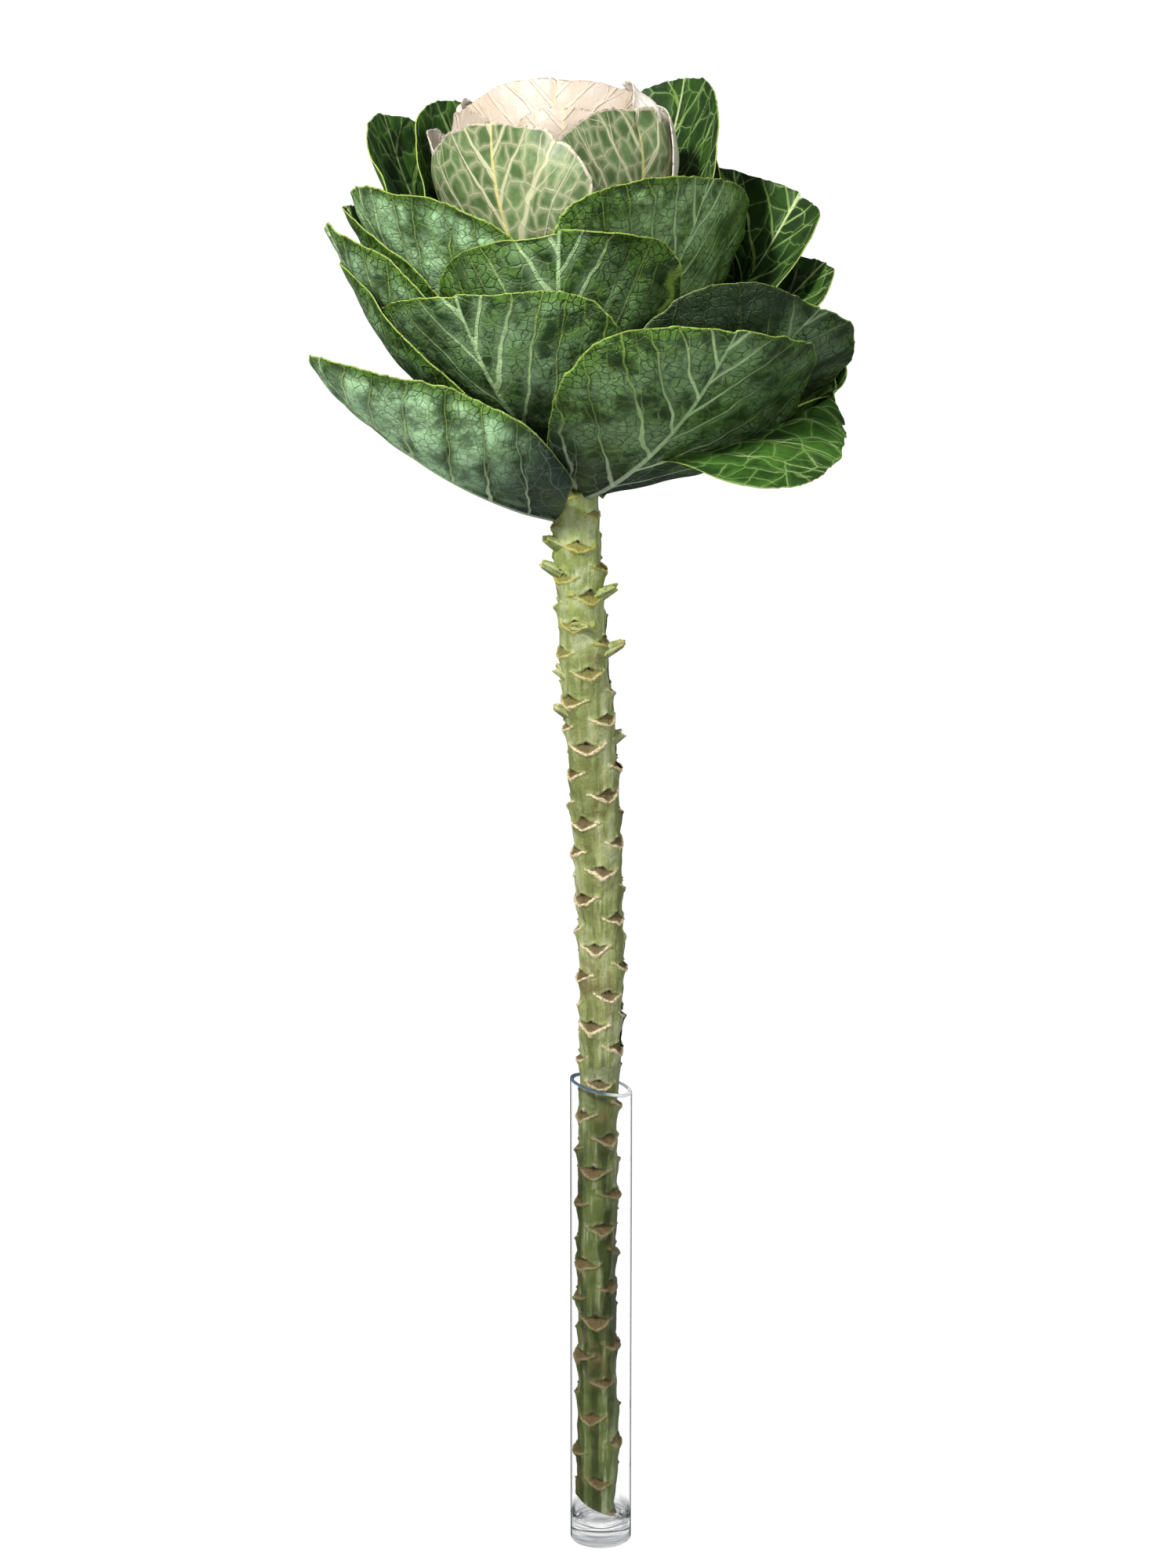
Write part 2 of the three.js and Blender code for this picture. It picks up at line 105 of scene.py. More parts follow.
LEAVES = [
    dict(name="leaf_01", at=562, tip=(-146, -35, 644), bow=20, width=(60, 70), wide=0.42, base=(0.35, 0.3),
         blunt=1.7, cup=60, roll=(4, 10), veins=7, lean=0.2, curve=0.3, bloom_and_light=1.5, yellow=0.2),
    dict(name="leaf_02", at=580, tip=(90, 75, 669), bow=14, width=66),
    dict(name="leaf_03", at=582, tip=(-42, 82, 677), bow=16, width=54),
    dict(name="leaf_04", at=574, tip=(64, -98, 657), width=(64, 80), base=(0.5, 0.7), blunt=2.6,
         cup=(30, 28), fold=4, roll=(-8, -10), veins=6, lean=0.9, yellow=0.7, painted_side_shade=(0, 0.35)),
    dict(name="leaf_05", at=585, layer=565, beside="leaf_04", tip=(102, -1, 651), bow=-10, width=(94, 58),
         wide=0.56, base=(2.2, 0.8), blunt=2.6, cup=(0, 25), roll=(6, 52), stalk=6, yellow=0.9, bloom_and_light=0.1,
         painted_shade=0.1, veins=5, lean=0.9),
    dict(name="leaf_06", at=588, tip=(32, 92, 673), bow=16),
    dict(name="leaf_07", at=593, tip=(106, -60, 667), bow=14, width=(66, 72), base=(0.8, 0.7), blunt=2.6,
         cup=(30, 16), roll=(-12, -24), painted_shade=0.25, painted_side_shade=(0.6, 0.3), veins=6, lean=0.9),
    dict(name="leaf_08", at=590, tip=(-131, 0, 691), bow=20, width=56, cup=50),
    dict(name="leaf_09", at=592, tip=(-71, -87, 674), width=(68, 72), wide=0.62, blunt=2.6, cup=(36, 40),
         roll=(0, 5), veins=4.5, lean=1.4, curve=0.5, bloom_and_light=0.4, yellow=0.4),
    dict(name="leaf_10", at=598, tip=(80, 65, 707), width=66),
    dict(name="leaf_11", at=601, tip=(114, 7, 690), bow=12, width=(50, 66), cup=(20, 55), roll=(18, 20),
         painted_shade=0.4),
    dict(name="leaf_12", at=604, tip=(-136, -30, 707), bow=20, width=(56, 52), cup=(45, 36), bloom_and_light=0.8),
    dict(name="leaf_13", at=606, tip=(-34, 80, 707), width=54),
    dict(name="leaf_14", at=611, tip=(-22, -89, 706), width=(60, 64), wide=0.62, blunt=2.6, cup=(38, 40),
         veins=4.5, lean=1.5, curve=0.5, bloom_and_light=0.2, yellow=0.8),
    dict(name="leaf_15", at=612, tip=(-130, 5, 717), bow=16, width=56, cup=45),
    dict(name="leaf_16", at=614, tip=(102, 30, 724), bow=14, width=(46, 94), wide=0.64, blunt=2.4,
         cup=(45, 50), roll=(24, 30), painted_shade=0.65),
    dict(name="leaf_17", at=618, tip=(-120, -39, 725), bow=20, width=(52, 80), base=(0.5, 0.3),
         cup=(55, 34), roll=(26, 4), veins=6, lean=1.2, bloom_and_light=1.3),
    dict(name="leaf_18", at=627, tip=(34, 66, 751), bow=14),
    dict(name="leaf_19", at=626, tip=(51, -45, 730), bow=15, width=(84, 86), blunt=2.8, cup=(42, 22),
         lip=(0, 20), veins=5, lean=1.3, bloom_and_light=0.9, yellow=0.9),
    dict(name="leaf_20", at=630, tip=(-113, 40, 765), width=(66, 58), blunt=2, cup=32, veins=6, lean=0.9),
    dict(name="leaf_21", at=634, tip=(43, 50, 784), bow=14, width=(60, 58), blunt=2, cup=(24, 35), fold=6,
         veins=6, lean=0.9, painted_shade=0.5),
    dict(name="leaf_22", at=638, tip=(-72, 53, 771), bow=16, width=56, blunt=2.6, veins=6, lean=0.9),
    dict(name="heart_leaf_01", at=643, tip=(-53, -47, 756), bow=22, width=(62, 54), base=0.4, blunt=2.6,
         cup=(44, 28), green=1, veins=5, lean=1.3, curve=0.1),
    dict(name="heart_leaf_02", at=650, tip=(-86, 13, 756), bow=20, width=26, cup=50, bloom_and_light=1),
    dict(name="heart_leaf_03", at=647, tip=(13, 17, 767), bow=20, width=38, cup=50, green=0.3, bloom_and_light=1),
    dict(name="heart_leaf_04", at=653, tip=(13, -25, 763), bow=20, width=(62, 46), blunt=2.4, cup=(34, 46),
         green=1, veins=5, lean=1.2, curve=0.1),
    dict(name="heart_leaf_05", at=657, tip=(-68, -17, 763), bow=20, width=44, blunt=3),
    dict(name="heart_leaf_06", at=660, tip=(-20, 33, 773), bow=20, width=38, cup=50),
    dict(name="heart_leaf_07", at=664, tip=(-58, 14, 765), bow=20, width=36, blunt=2.4, cup=50, bloom_and_light=1),
    dict(name="heart_leaf_08", at=667, tip=(-19, -33, 765), width=34, blunt=2.6, cup=50),
    dict(name="heart_leaf_09", at=670, tip=(8, 7, 774), bow=20, width=30, cup=50, blunt=3, bloom_and_light=1),
    dict(name="heart_leaf_10", at=675, tip=(-23, -19, 778), bow=24, width=58, wide=0.7, blunt=3.2, cup=46),
    dict(name="heart_leaf_11", at=681, tip=(-34, 3, 769), bow=24, width=18, cup=60),
    dict(name="heart_leaf_12", at=685, tip=(-18, -3, 767), bow=24, width=16, cup=60),
    dict(name="heart_leaf_13", at=689, tip=(-28, 7, 765), bow=24, width=15, cup=60),
]
HIDDEN = ("leaf_02", "leaf_03", "leaf_06", "leaf_10", "leaf_13", "leaf_18")


def unit(v):
    return v / np.maximum(np.linalg.norm(v, axis=-1, keepdims=True), 1e-9)


def smoothstep(low, high, x):
    t = np.clip((x - low) / (high - low), 0, 1)
    return t * t * (3 - 2 * t)


def cloud(x, y, size, seed):
    """Smooth random values between -1 and 1; size is how far apart the bumps are."""
    table = np.random.default_rng(seed).uniform(-1, 1, (64, 64))
    gx, gy = x / size, y / size
    ix, iy = np.floor(gx).astype(int), np.floor(gy).astype(int)
    fx, fy = smoothstep(0, 1, gx - ix), smoothstep(0, 1, gy - iy)
    low = table[ix % 64, iy % 64] * (1 - fx) + table[(ix + 1) % 64, iy % 64] * fx
    high = table[ix % 64, (iy + 1) % 64] * (1 - fx) + table[(ix + 1) % 64, (iy + 1) % 64] * fx
    return low * (1 - fy) + high * fy


def spline(knots, at):
    """Weights that carry values given at the knots to other places along a smooth curve."""
    n = len(knots)
    step = np.diff(knots)
    left, right = np.eye(n), np.zeros((n, n))
    for i in range(1, n - 1):
        left[i, i - 1:i + 2] = step[i - 1] / 6, (step[i - 1] + step[i]) / 3, step[i] / 6
        right[i, i - 1:i + 2] = 1 / step[i - 1], -1 / step[i - 1] - 1 / step[i], 1 / step[i]
    second = np.linalg.solve(left, right)
    i = np.clip(np.searchsorted(knots, at) - 1, 0, n - 2)
    b = ((at - knots[i]) / step[i])[:, None]
    a = 1 - b
    size = (step[i] ** 2 / 6)[:, None]
    straight = a * np.eye(n)[i] + b * np.eye(n)[i + 1]
    return straight + ((a ** 3 - a) * second[i] + (b ** 3 - b) * second[i + 1]) * size


# ---- where each leaf lies ----
def stem_at(z):
    return np.array([np.interp(z, STEM[:, 0], STEM[:, k]) for k in (1, 2, 3)])


def midrib(leaf):
    """The midrib as a fine run of points with their directions; it runs on a little past the tip."""
    sx, sy, girth = stem_at(leaf["at"])
    tip = np.array(leaf["tip"], float)
    azimuth = np.arctan2(tip[1] - sy, tip[0] - sx)
    out = girth / 2 + CLEAR
    base = np.array([sx + out * np.cos(azimuth), sy + out * np.sin(azimuth), leaf["at"]])
    chord = np.linalg.norm(tip - base)
    bow = radians(leaf["bow"])
    length = chord * bow / np.sin(bow)
    t = np.arange(MIDRIB_STEPS + MIDRIB_PAST + 1) / MIDRIB_STEPS
    rise = np.arcsin((tip[2] - base[2]) / chord) + bow * (2 * t - 1)
    flat = np.cos(rise)
    along = np.stack([flat * np.cos(azimuth), flat * np.sin(azimuth), np.sin(rise)], -1)
    steps = (along[1:] + along[:-1]) * 0.5 * length / MIDRIB_STEPS
    place = base + np.concatenate([np.zeros((1, 3)), np.cumsum(steps, 0)])
    across = np.array([-np.sin(azimuth), np.cos(azimuth), 0])
    up = np.cross(along, across)
    turn = np.radians(leaf["roll"][0] + (leaf["roll"][1] - leaf["roll"][0]) * t)[:, None]
    side = across * np.cos(turn) + up * np.sin(turn)
    inward = up * np.cos(turn) - across * np.sin(turn)
    return dict(place=place, side=side, inward=inward, length=length)


def half_values(leaf, key, v):
    right, left = np.broadcast_to(leaf[key], 2)
    return np.where(v < 0, right, left).astype(float)


def opening(leaf, u, v):
    """Half width between the stalk and the widest place."""
    open_ = np.sin(pi / 2 * np.minimum(u / leaf["wide"], 1)) ** half_values(leaf, "base", v)
    return leaf["stalk"] + (half_values(leaf, "width", v) - leaf["stalk"]) * open_


def closing(leaf, u):
    """Share of the full width that is left between the widest place and the tip."""
    x = np.clip((u - leaf["wide"]) / (1 - leaf["wide"]), 0, 1)
    return (1 - x ** leaf["blunt"]) ** (1 / leaf["blunt"])


def blade(leaf, run, u, v, width):
    """Places on the leaf's smooth middle surface, v across from margin to margin."""
    narrowed = np.where(u > leaf["wide"], width / half_values(leaf, "width", v), 1)
    q = (np.abs(v) * narrowed)[..., None] * (np.arange(24) + 0.5) / 24
    cup, lip = half_values(leaf, "cup", v)[..., None], half_values(leaf, "lip", v)[..., None]
    turn = np.radians(leaf["fold"] + cup * q - lip * q ** 4)
    out = np.cos(turn).mean(-1) * v
    up = np.sin(turn).mean(-1) * np.abs(v)
    at = np.clip(u, 0, 1.09) * MIDRIB_STEPS
    i = np.minimum(at.astype(int), MIDRIB_STEPS + MIDRIB_PAST - 1)
    part = (at - i)[..., None]
    place, side, inward = (
        run[key][i] * (1 - part) + run[key][i + 1] * part for key in ("place", "side", "inward")
    )
    return place + side * (width * out)[..., None] + inward * (width * up)[..., None]


def control_net(leaf, run, rows, across):
    u = 1 - (1 - np.arange(rows + 1) / rows) ** ROW_POWER
    u, v = np.meshgrid(u, across, indexing="ij")
    full = half_values(leaf, "width", v)
    width = np.where(u < leaf["wide"], opening(leaf, u, v), np.maximum(full * closing(leaf, u), 2.5))
    return blade(leaf, run, u, v, width)


def net_normals(net):
    i, j = np.arange(net.shape[0]), np.arange(net.shape[1])
    along = net[np.minimum(i + 1, i[-1])] - net[np.maximum(i - 1, 0)]
    across = net[:, np.minimum(j + 1, j[-1])] - net[:, np.maximum(j - 1, 0)]
    return unit(np.cross(along, across))


def net_samples(net, per_cell):
    """The net again as many close points, each with its inward direction and the cell it is in."""
    i, j = np.mgrid[:net.shape[0] - 1, :net.shape[1] - 1]
    normals = net_normals(net)
    places, inwards, cells = [], [], []
    for s in (np.arange(per_cell) + 0.5) / per_cell:
        for t in (np.arange(per_cell) + 0.5) / per_cell:
            for grid, kept in ((net, places), (normals, inwards)):
                near = grid[:-1, :-1] * (1 - s) + grid[1:, :-1] * s
                far = grid[:-1, 1:] * (1 - s) + grid[1:, 1:] * s
                kept.append((near * (1 - t) + far * t).reshape(-1, 3))
            cells.append(np.stack([i.ravel(), j.ravel()], -1))
    place, inward, cell = (np.concatenate(parts) for parts in (places, inwards, cells))
    return dict(place=place, inward=unit(inward), cell=cell)


def nearest(points, place, inward):
    """For each point: the nearest place, how far above it the point is, and how far to its side."""
    square = (points ** 2).sum(1)[:, None] + (place ** 2).sum(1)[None] - 2 * points @ place.T
    k = square.argmin(1)
    above = ((points - place[k]) * inward[k]).sum(1)
    aside = np.sqrt(np.maximum(square[np.arange(len(k)), k] - above ** 2, 0))
    return k, above, aside


def clear_of_stem(net):
    body = net[1:]
    sx, sy, girth = stem_at(body[..., 2])
    off = np.hypot(body[..., 0] - sx, body[..., 1] - sy)
    least = np.where(body[..., 2] < STEM[-1, 0] + 4, girth / 2 + CLEAR, 0)
    grow = np.where(off < least, least / np.maximum(off, 1e-6), 1)
    body[..., 0] = sx + (body[..., 0] - sx) * grow
    body[..., 1] = sy + (body[..., 1] - sy) * grow


def press_out(net, inner, spacing):
    """Moves a leaf out where it would pass through one nearer the heart or come too close to it."""
    clear_of_stem(net)
    low = net.min((0, 1)) - spacing
    high = net.max((0, 1)) + spacing
    for other in inner:
        near = ((other["place"] >= low) & (other["place"] <= high)).all(1)
        if not near.any():
            continue
        place, inward = other["place"][near], other["inward"][near]
        flat = net.reshape(-1, 3)
        k, above, aside = nearest(flat, place, inward)
        held = (above > -spacing) & (above < REACH) & (aside < BESIDE)
        far = np.where(held, (above + spacing) * np.minimum(1, (BESIDE - aside) / 4), 0)
        net[...] = (flat - inward[k] * far[:, None]).reshape(net.shape)
        own = net_samples(net, 2)
        k, above, aside = nearest(place, own["place"], own["inward"])
        far = np.zeros(net.shape[:2])
        way = np.zeros(net.shape)
        for n in np.flatnonzero((above < spacing) & (above >= -REACH) & (aside <= BESIDE_OWN)):
            i, j = own["cell"][k[n]]
            for a, b in ((i, j), (i + 1, j), (i, j + 1), (i + 1, j + 1)):
                if spacing - above[n] > far[a, b]:
                    far[a, b] = spacing - above[n]
                    way[a, b] = own["inward"][k[n]]
        net -= way * far[..., None]


def even_out(net, original):
    """Spreads what each point was moved over the points beside it."""
    shift = net - original
    total, count = np.zeros(net.shape), np.zeros(net.shape[:2] + (1,))
    grids = (shift, total, count)
    for moved, added, near in (grids, [grid.swapaxes(0, 1) for grid in grids]):
        added[1:] += moved[:-1]
        added[:-1] += moved[1:]
        near[1:] += 1
        near[:-1] += 1
    mixed = (shift + total / count) / 2
    net[1:] = original[1:] + mixed[1:]


def lay_leaves():
    """Works out from the heart outward how far each leaf's net is moved by those inside it."""
    laid = []
    order = [dict(USUAL, **leaf) for leaf in LEAVES]
    for leaf in sorted(order, key=lambda leaf: -leaf.get("layer", leaf["at"])):
        heart = leaf["name"].startswith("heart")
        if heart:
            leaf["stalk"] = 3 if leaf["at"] > 675 else 4.5
        rows, across = (HEART_ROWS, HEART_ACROSS) if heart else (LEAF_ROWS, LEAF_ACROSS)
        run = midrib(leaf)
        original = control_net(leaf, run, rows, across)
        net = original.copy()
        inner = [other["samples"] for other in laid if other["leaf"]["name"] != leaf.get("beside")]
        for turn in range(PASSES):
            press_out(net, inner, HEART_SPACING if heart else LEAF_SPACING)
            if turn < PASSES - 1:
                even_out(net, original)
        samples = net_samples(net, 3)
        laid.append(dict(leaf=leaf, run=run, heart=heart, shift=net - original, samples=samples))
    return laid


# ---- leaf meshes ----
def outline_grid(leaf, rows, columns):
    """An even grid over the leaf's outline: straight rows below the widest place, and a rounded end."""
    s, t = np.meshgrid(np.linspace(0, 1, rows + 1), np.linspace(-1, 1, columns + 1), indexing="ij")
    t = np.sign(t) * (np.abs(t) ** 1.15 + 1 - (1 - np.abs(t)) ** 1.3) / 2
    share = leaf["wide"] * 0.9
    low = s <= share
    basal = leaf["wide"] * np.minimum(s / share, 1) ** 1.2
    end = 1 - (1 - np.clip((s - share) / (1 - share), 0, 1)) ** 1.25
    x, y = end * np.sqrt(1 - t ** 2 / 2), t * np.sqrt(1 - end ** 2 / 2)
    edge = np.hypot(x, y)
    blunt = leaf["blunt"]
    squarer = edge / np.maximum((x ** blunt + np.abs(y) ** blunt) ** (1 / blunt), 1e-6)
    squarer = np.where(edge > 1e-6, squarer, 1)
    x, y = x * squarer, y * squarer
    edge = np.where(low, np.abs(t), edge)
    full = half_values(leaf, "width", t)
    along_rim = np.where(low, basal * leaf["length"],
                         leaf["wide"] * leaf["length"] + np.arctan2(x, np.abs(y)) * full)
    along_rim = along_rim + np.where(t < 0, 400, 0)
    return low, basal, t, x, y, edge, along_rim


def leaf_surface(leaf, run, rows, columns):
    """u, v, half width, closeness to the margin and place along the rim, with an uneven outline."""
    low, basal, t, x, y, edge, rim = outline_grid(leaf, rows, columns)
    seed = leaf["seed"]
    rough = leaf["ragged"]
    uneven = 0.03 * cloud(rim, 0 * rim, 34, seed) + 0.012 * rough * cloud(rim, 0 * rim, 8, seed + 1)
    uneven += 0.014 * rough * np.maximum(cloud(rim, 0 * rim, 2.6, seed + 2), 0)
    grow = 1 + uneven * edge ** 6
    spread = closing(leaf, leaf["wide"] + (1 - leaf["wide"]) * x)
    spread = np.sqrt(spread ** 2 + 0.09) / np.sqrt(1.09)
    x, y = x * grow, y * grow
    u = np.where(low, basal, leaf["wide"] + (1 - leaf["wide"]) * x)
    v = np.where(low, t, y / spread)
    width = np.where(low, opening(leaf, u, t) * grow, half_values(leaf, "width", t) * spread)
    return u, v, width, edge, rim


def vein_course(leaf, x, y):
    """Number along the run of side veins at flat places of the leaf, and the gap between them."""
    length = leaf["length"]
    full = half_values(leaf, "width", y)
    y = np.abs(y)
    s = (x - leaf["lean"] * y - leaf["curve"] * y ** 2 / full) / (1 + leaf["spread"] * y / length)
    slope = leaf["lean"] + leaf["spread"] * s / length + 2 * leaf["curve"] * y / full
    gap = length / leaf["veins"] * (1 + leaf["spread"] * y / length) / np.sqrt(1 + slope ** 2)
    s = np.where(s < 0, s * 0.6, s)
    seed = leaf["seed"]
    return leaf["veins"] * s / length + 0.25 * cloud(s, 0 * s, length / 5, seed + 3), gap


def rib_thickness(leaf, u, y):
    """How far the midrib stands out of the underside."""
    tall = leaf["rib"] * (1 - np.clip(u, 0, 1)) ** 1.3
    half = leaf["rib"] * (1 - np.clip(u, 0, 1)) + 0.8
    return tall * np.clip(1 - (y / half) ** 2, 0, 1)


def leaf_relief(leaf, u, v, x, y, edge, rim, number):
    """How far the blade bulges outward from its smooth middle surface."""
    seed = leaf["seed"]
    share = number + np.where(y > 0, 0.5, 0)
    share = share - np.floor(share)
    quilt = 1 - np.abs(2 * share - 1) ** 2.4
    middle = smoothstep(0.02, 0.25, np.abs(v)) * smoothstep(1, 0.8, edge)
    bulge = leaf["quilt"] * quilt * middle
    bulge *= 0.7 + 0.6 * cloud(x, y, 22, seed + 8)
    bulge += leaf["quilt"] * 0.5 * cloud(x, y, 11, seed + 4) * middle
    bulge += leaf["wave"] * cloud(x, y, 42, seed + 5) * smoothstep(0, 0.5, edge) * smoothstep(0, 0.3, u)
    rim_wave = cloud(rim, 0 * rim, 24, seed + 6) + 0.5 * cloud(rim, 0 * rim, 11, seed + 7)
    return bulge + leaf["ruffle"] * rim_wave * edge ** 5 * smoothstep(0.05, 0.3, u)


def leaf_points(laid, rows, columns):
    leaf, run = laid["leaf"], laid["run"]
    u, v, width, edge, rim = leaf_surface(leaf, run, rows, columns)
    middle = blade(leaf, run, u, v, width)
    ahead = blade(leaf, run, u + 0.004, v, width) - middle
    beside = blade(leaf, run, u, v + 0.01, width) - middle
    facing = unit(np.cross(ahead, beside))
    across = HEART_ACROSS if laid["heart"] else LEAF_ACROSS
    chosen = [k for k, place in enumerate(across) if place == 0 or abs(place) > 0.1]
    row_at = 1 - (1 - np.clip(u, 0, 1)) ** (1 / ROW_POWER)
    by_row = spline(np.linspace(0, 1, laid["shift"].shape[0]), row_at.ravel())
    by_column = spline(across[chosen], np.clip(v, -1, 1).ravel())
    shift = np.einsum("ni,nj,ijk->nk", by_row, by_column, laid["shift"][:, chosen])
    middle = middle + shift.reshape(middle.shape)
    x, y = u * leaf["length"], v * width
    number, gap = vein_course(leaf, x, y)
    out = leaf_relief(leaf, u, v, x, y, edge, rim, number)
    middle = middle - facing * out[..., None]
    sx, sy, _ = stem_at(middle[0, columns // 2, 2])
    root = (1 - smoothstep(0, 0.1, u)) * 2.6
    inward = unit(np.array([sx, sy, 0]) - middle[0, columns // 2] * (1, 1, 0))
    middle = middle + inward * root[..., None]
    # Painted shade, darker towards each margin by its half's number, added to the leaf's own painted shade.
    painted_side_shade = leaf["painted_side_shade"][0] * smoothstep(-0.1, -0.6, v) + leaf["painted_side_shade"][1] * smoothstep(0.1, 0.6, v)
    fields = dict(
        vein=(number, np.abs(v), gap),
        blade=(y, np.minimum((1 - edge) * half_values(leaf, "width", v), 60), u),
        look=(leaf["bloom_and_light"], leaf["painted_shade"] + painted_side_shade, leaf["yellow"]),
        kind=(leaf["seed"] * 0.37, leaf["green"], leaf["rib"]),
    )
    flat = np.stack([y / FLAT_SPAN + 0.5, x / FLAT_SPAN], -1)
    return middle, flat, rib_thickness(leaf, u, y), fields


def grid_mesh(name, rows, columns):
    """A flat grid from a bmesh operator, and where each of its vertices is in rows and columns."""
    bm = bmesh.new()
    bmesh.ops.create_grid(bm, x_segments=rows, y_segments=columns, size=1)
    mesh = bpy.data.meshes.new(name)
    bm.to_mesh(mesh)
    bm.free()
    flat = np.empty(len(mesh.vertices) * 3)
    mesh.vertices.foreach_get("co", flat)
    flat = flat.reshape(-1, 3)
    i = np.rint((flat[:, 0] + 1) / 2 * rows).astype(int)
    j = np.rint((flat[:, 1] + 1) / 2 * columns).astype(int)
    return mesh, i, j


def set_points(mesh, points):
    mesh.vertices.foreach_set("co", (points * MM).ravel())
    mesh.polygons.foreach_set("use_smooth", np.ones(len(mesh.polygons), bool))
    mesh.update()


def set_field(mesh, name, values):
    field = mesh.attributes.new(name, "FLOAT_VECTOR", "POINT")
    field.data.foreach_set("vector", np.ascontiguousarray(values, np.float32).ravel())


def set_flat(mesh, values):
    corner = np.empty(len(mesh.loops), int)
    mesh.loops.foreach_get("vertex_index", corner)
    layer = mesh.uv_layers.new(name="flat")
    layer.data.foreach_set("uv", np.ascontiguousarray(values[corner], np.float32).ravel())


def add_object(name, mesh):
    piece = bpy.data.objects.new(name, mesh)
    bpy.context.scene.collection.objects.link(piece)
    return piece


def hand_over(piece, node):
    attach(piece, "root")
    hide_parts(node)


def hand_over_bmesh(bm, name, finish, node):
    """A piece from a bmesh whose seams and ends are still open."""
    bmesh.ops.remove_doubles(bm, verts=bm.verts, dist=2e-6)
    bmesh.ops.recalc_face_normals(bm, faces=bm.faces)
    mesh = bpy.data.meshes.new(name)
    bm.to_mesh(mesh)
    bm.free()
    mesh.polygons.foreach_set("use_smooth", np.ones(len(mesh.polygons), bool))
    mesh.materials.append(finish)
    hand_over(add_object(name, mesh), node)


def build_leaf(laid, finishes):
    leaf = laid["leaf"]
    rows, columns = leaf["grid"]
    points, flat, rib, fields = leaf_points(laid, rows, columns)
    mesh, i, j = grid_mesh(leaf["name"], rows, columns)
    set_points(mesh, points[i, j])
    set_flat(mesh, flat[i, j])
    for name, parts in fields.items():
        values = np.stack([np.broadcast_to(part, points.shape[:2]) for part in parts], -1)
        set_field(mesh, name, values[i, j])
    piece = add_object(leaf["name"] + "_blade", mesh)
    for finish in finishes:
        mesh.materials.append(finish)
    thick = leaf["rib"] + leaf["thick"]
    group = piece.vertex_groups.new(name="thickness")
    weights = np.round((rib[i, j] + leaf["thick"]) / thick, 2)
    for weight in np.unique(weights):
        group.add(np.flatnonzero(weights == weight).tolist(), float(weight), "REPLACE")
    wall = piece.modifiers.new("thickness", "SOLIDIFY")
    wall.thickness = thick * MM
    wall.offset = -1
    wall.vertex_group = group.name
    wall.material_offset = 1
    wall.material_offset_rim = 2
    hand_over(piece, leaf["name"])


def leaf_habits(laid):
    """What the name and place of a leaf say about its grain: how fine, how thick, how rough."""
    for number, one in enumerate(laid):
        leaf = one["leaf"]
        leaf.update(length=one["run"]["length"], seed=11 * number + 5)
        if one["heart"]:
            grid = (40, 40) if leaf["at"] > 678 else (64, 64)
            leaf.update(grid=grid, quilt=0.35, rib=1.2, thick=0.5, wave=0.8, ragged=1.6)
        else:
            grid = (56, 56) if leaf["name"] in HIDDEN else (84, 80)
            leaf.update(grid=grid, quilt=1.2, rib=3.0, thick=0.6, wave=1.6, ragged=0.8)


# ---- finishes ----
def tint(code, lift=1.8):
    """A colour from its six-digit code, as light, lifted to the share that the surface sends back."""
    parts = [int(code[k:k + 2], 16) / 255 for k in (0, 2, 4)]
    return tuple(lift * (p / 12.92 if p <= 0.04045 else ((p + 0.055) / 1.055) ** 2.4) for p in parts) + (1,)


class Value:
    """What comes out of a node. Sums and products of values add nodes of their own."""

    def __init__(self, finish, socket):
        self.finish = finish
        self.socket = socket

    def __add__(self, other):
        return self.finish.calc("ADD", self, other)

    def __sub__(self, other):
        return self.finish.calc("SUBTRACT", self, other)

    def __rsub__(self, other):
        return self.finish.calc("SUBTRACT", other, self)

    def __mul__(self, other):
        return self.finish.calc("MULTIPLY", self, other)


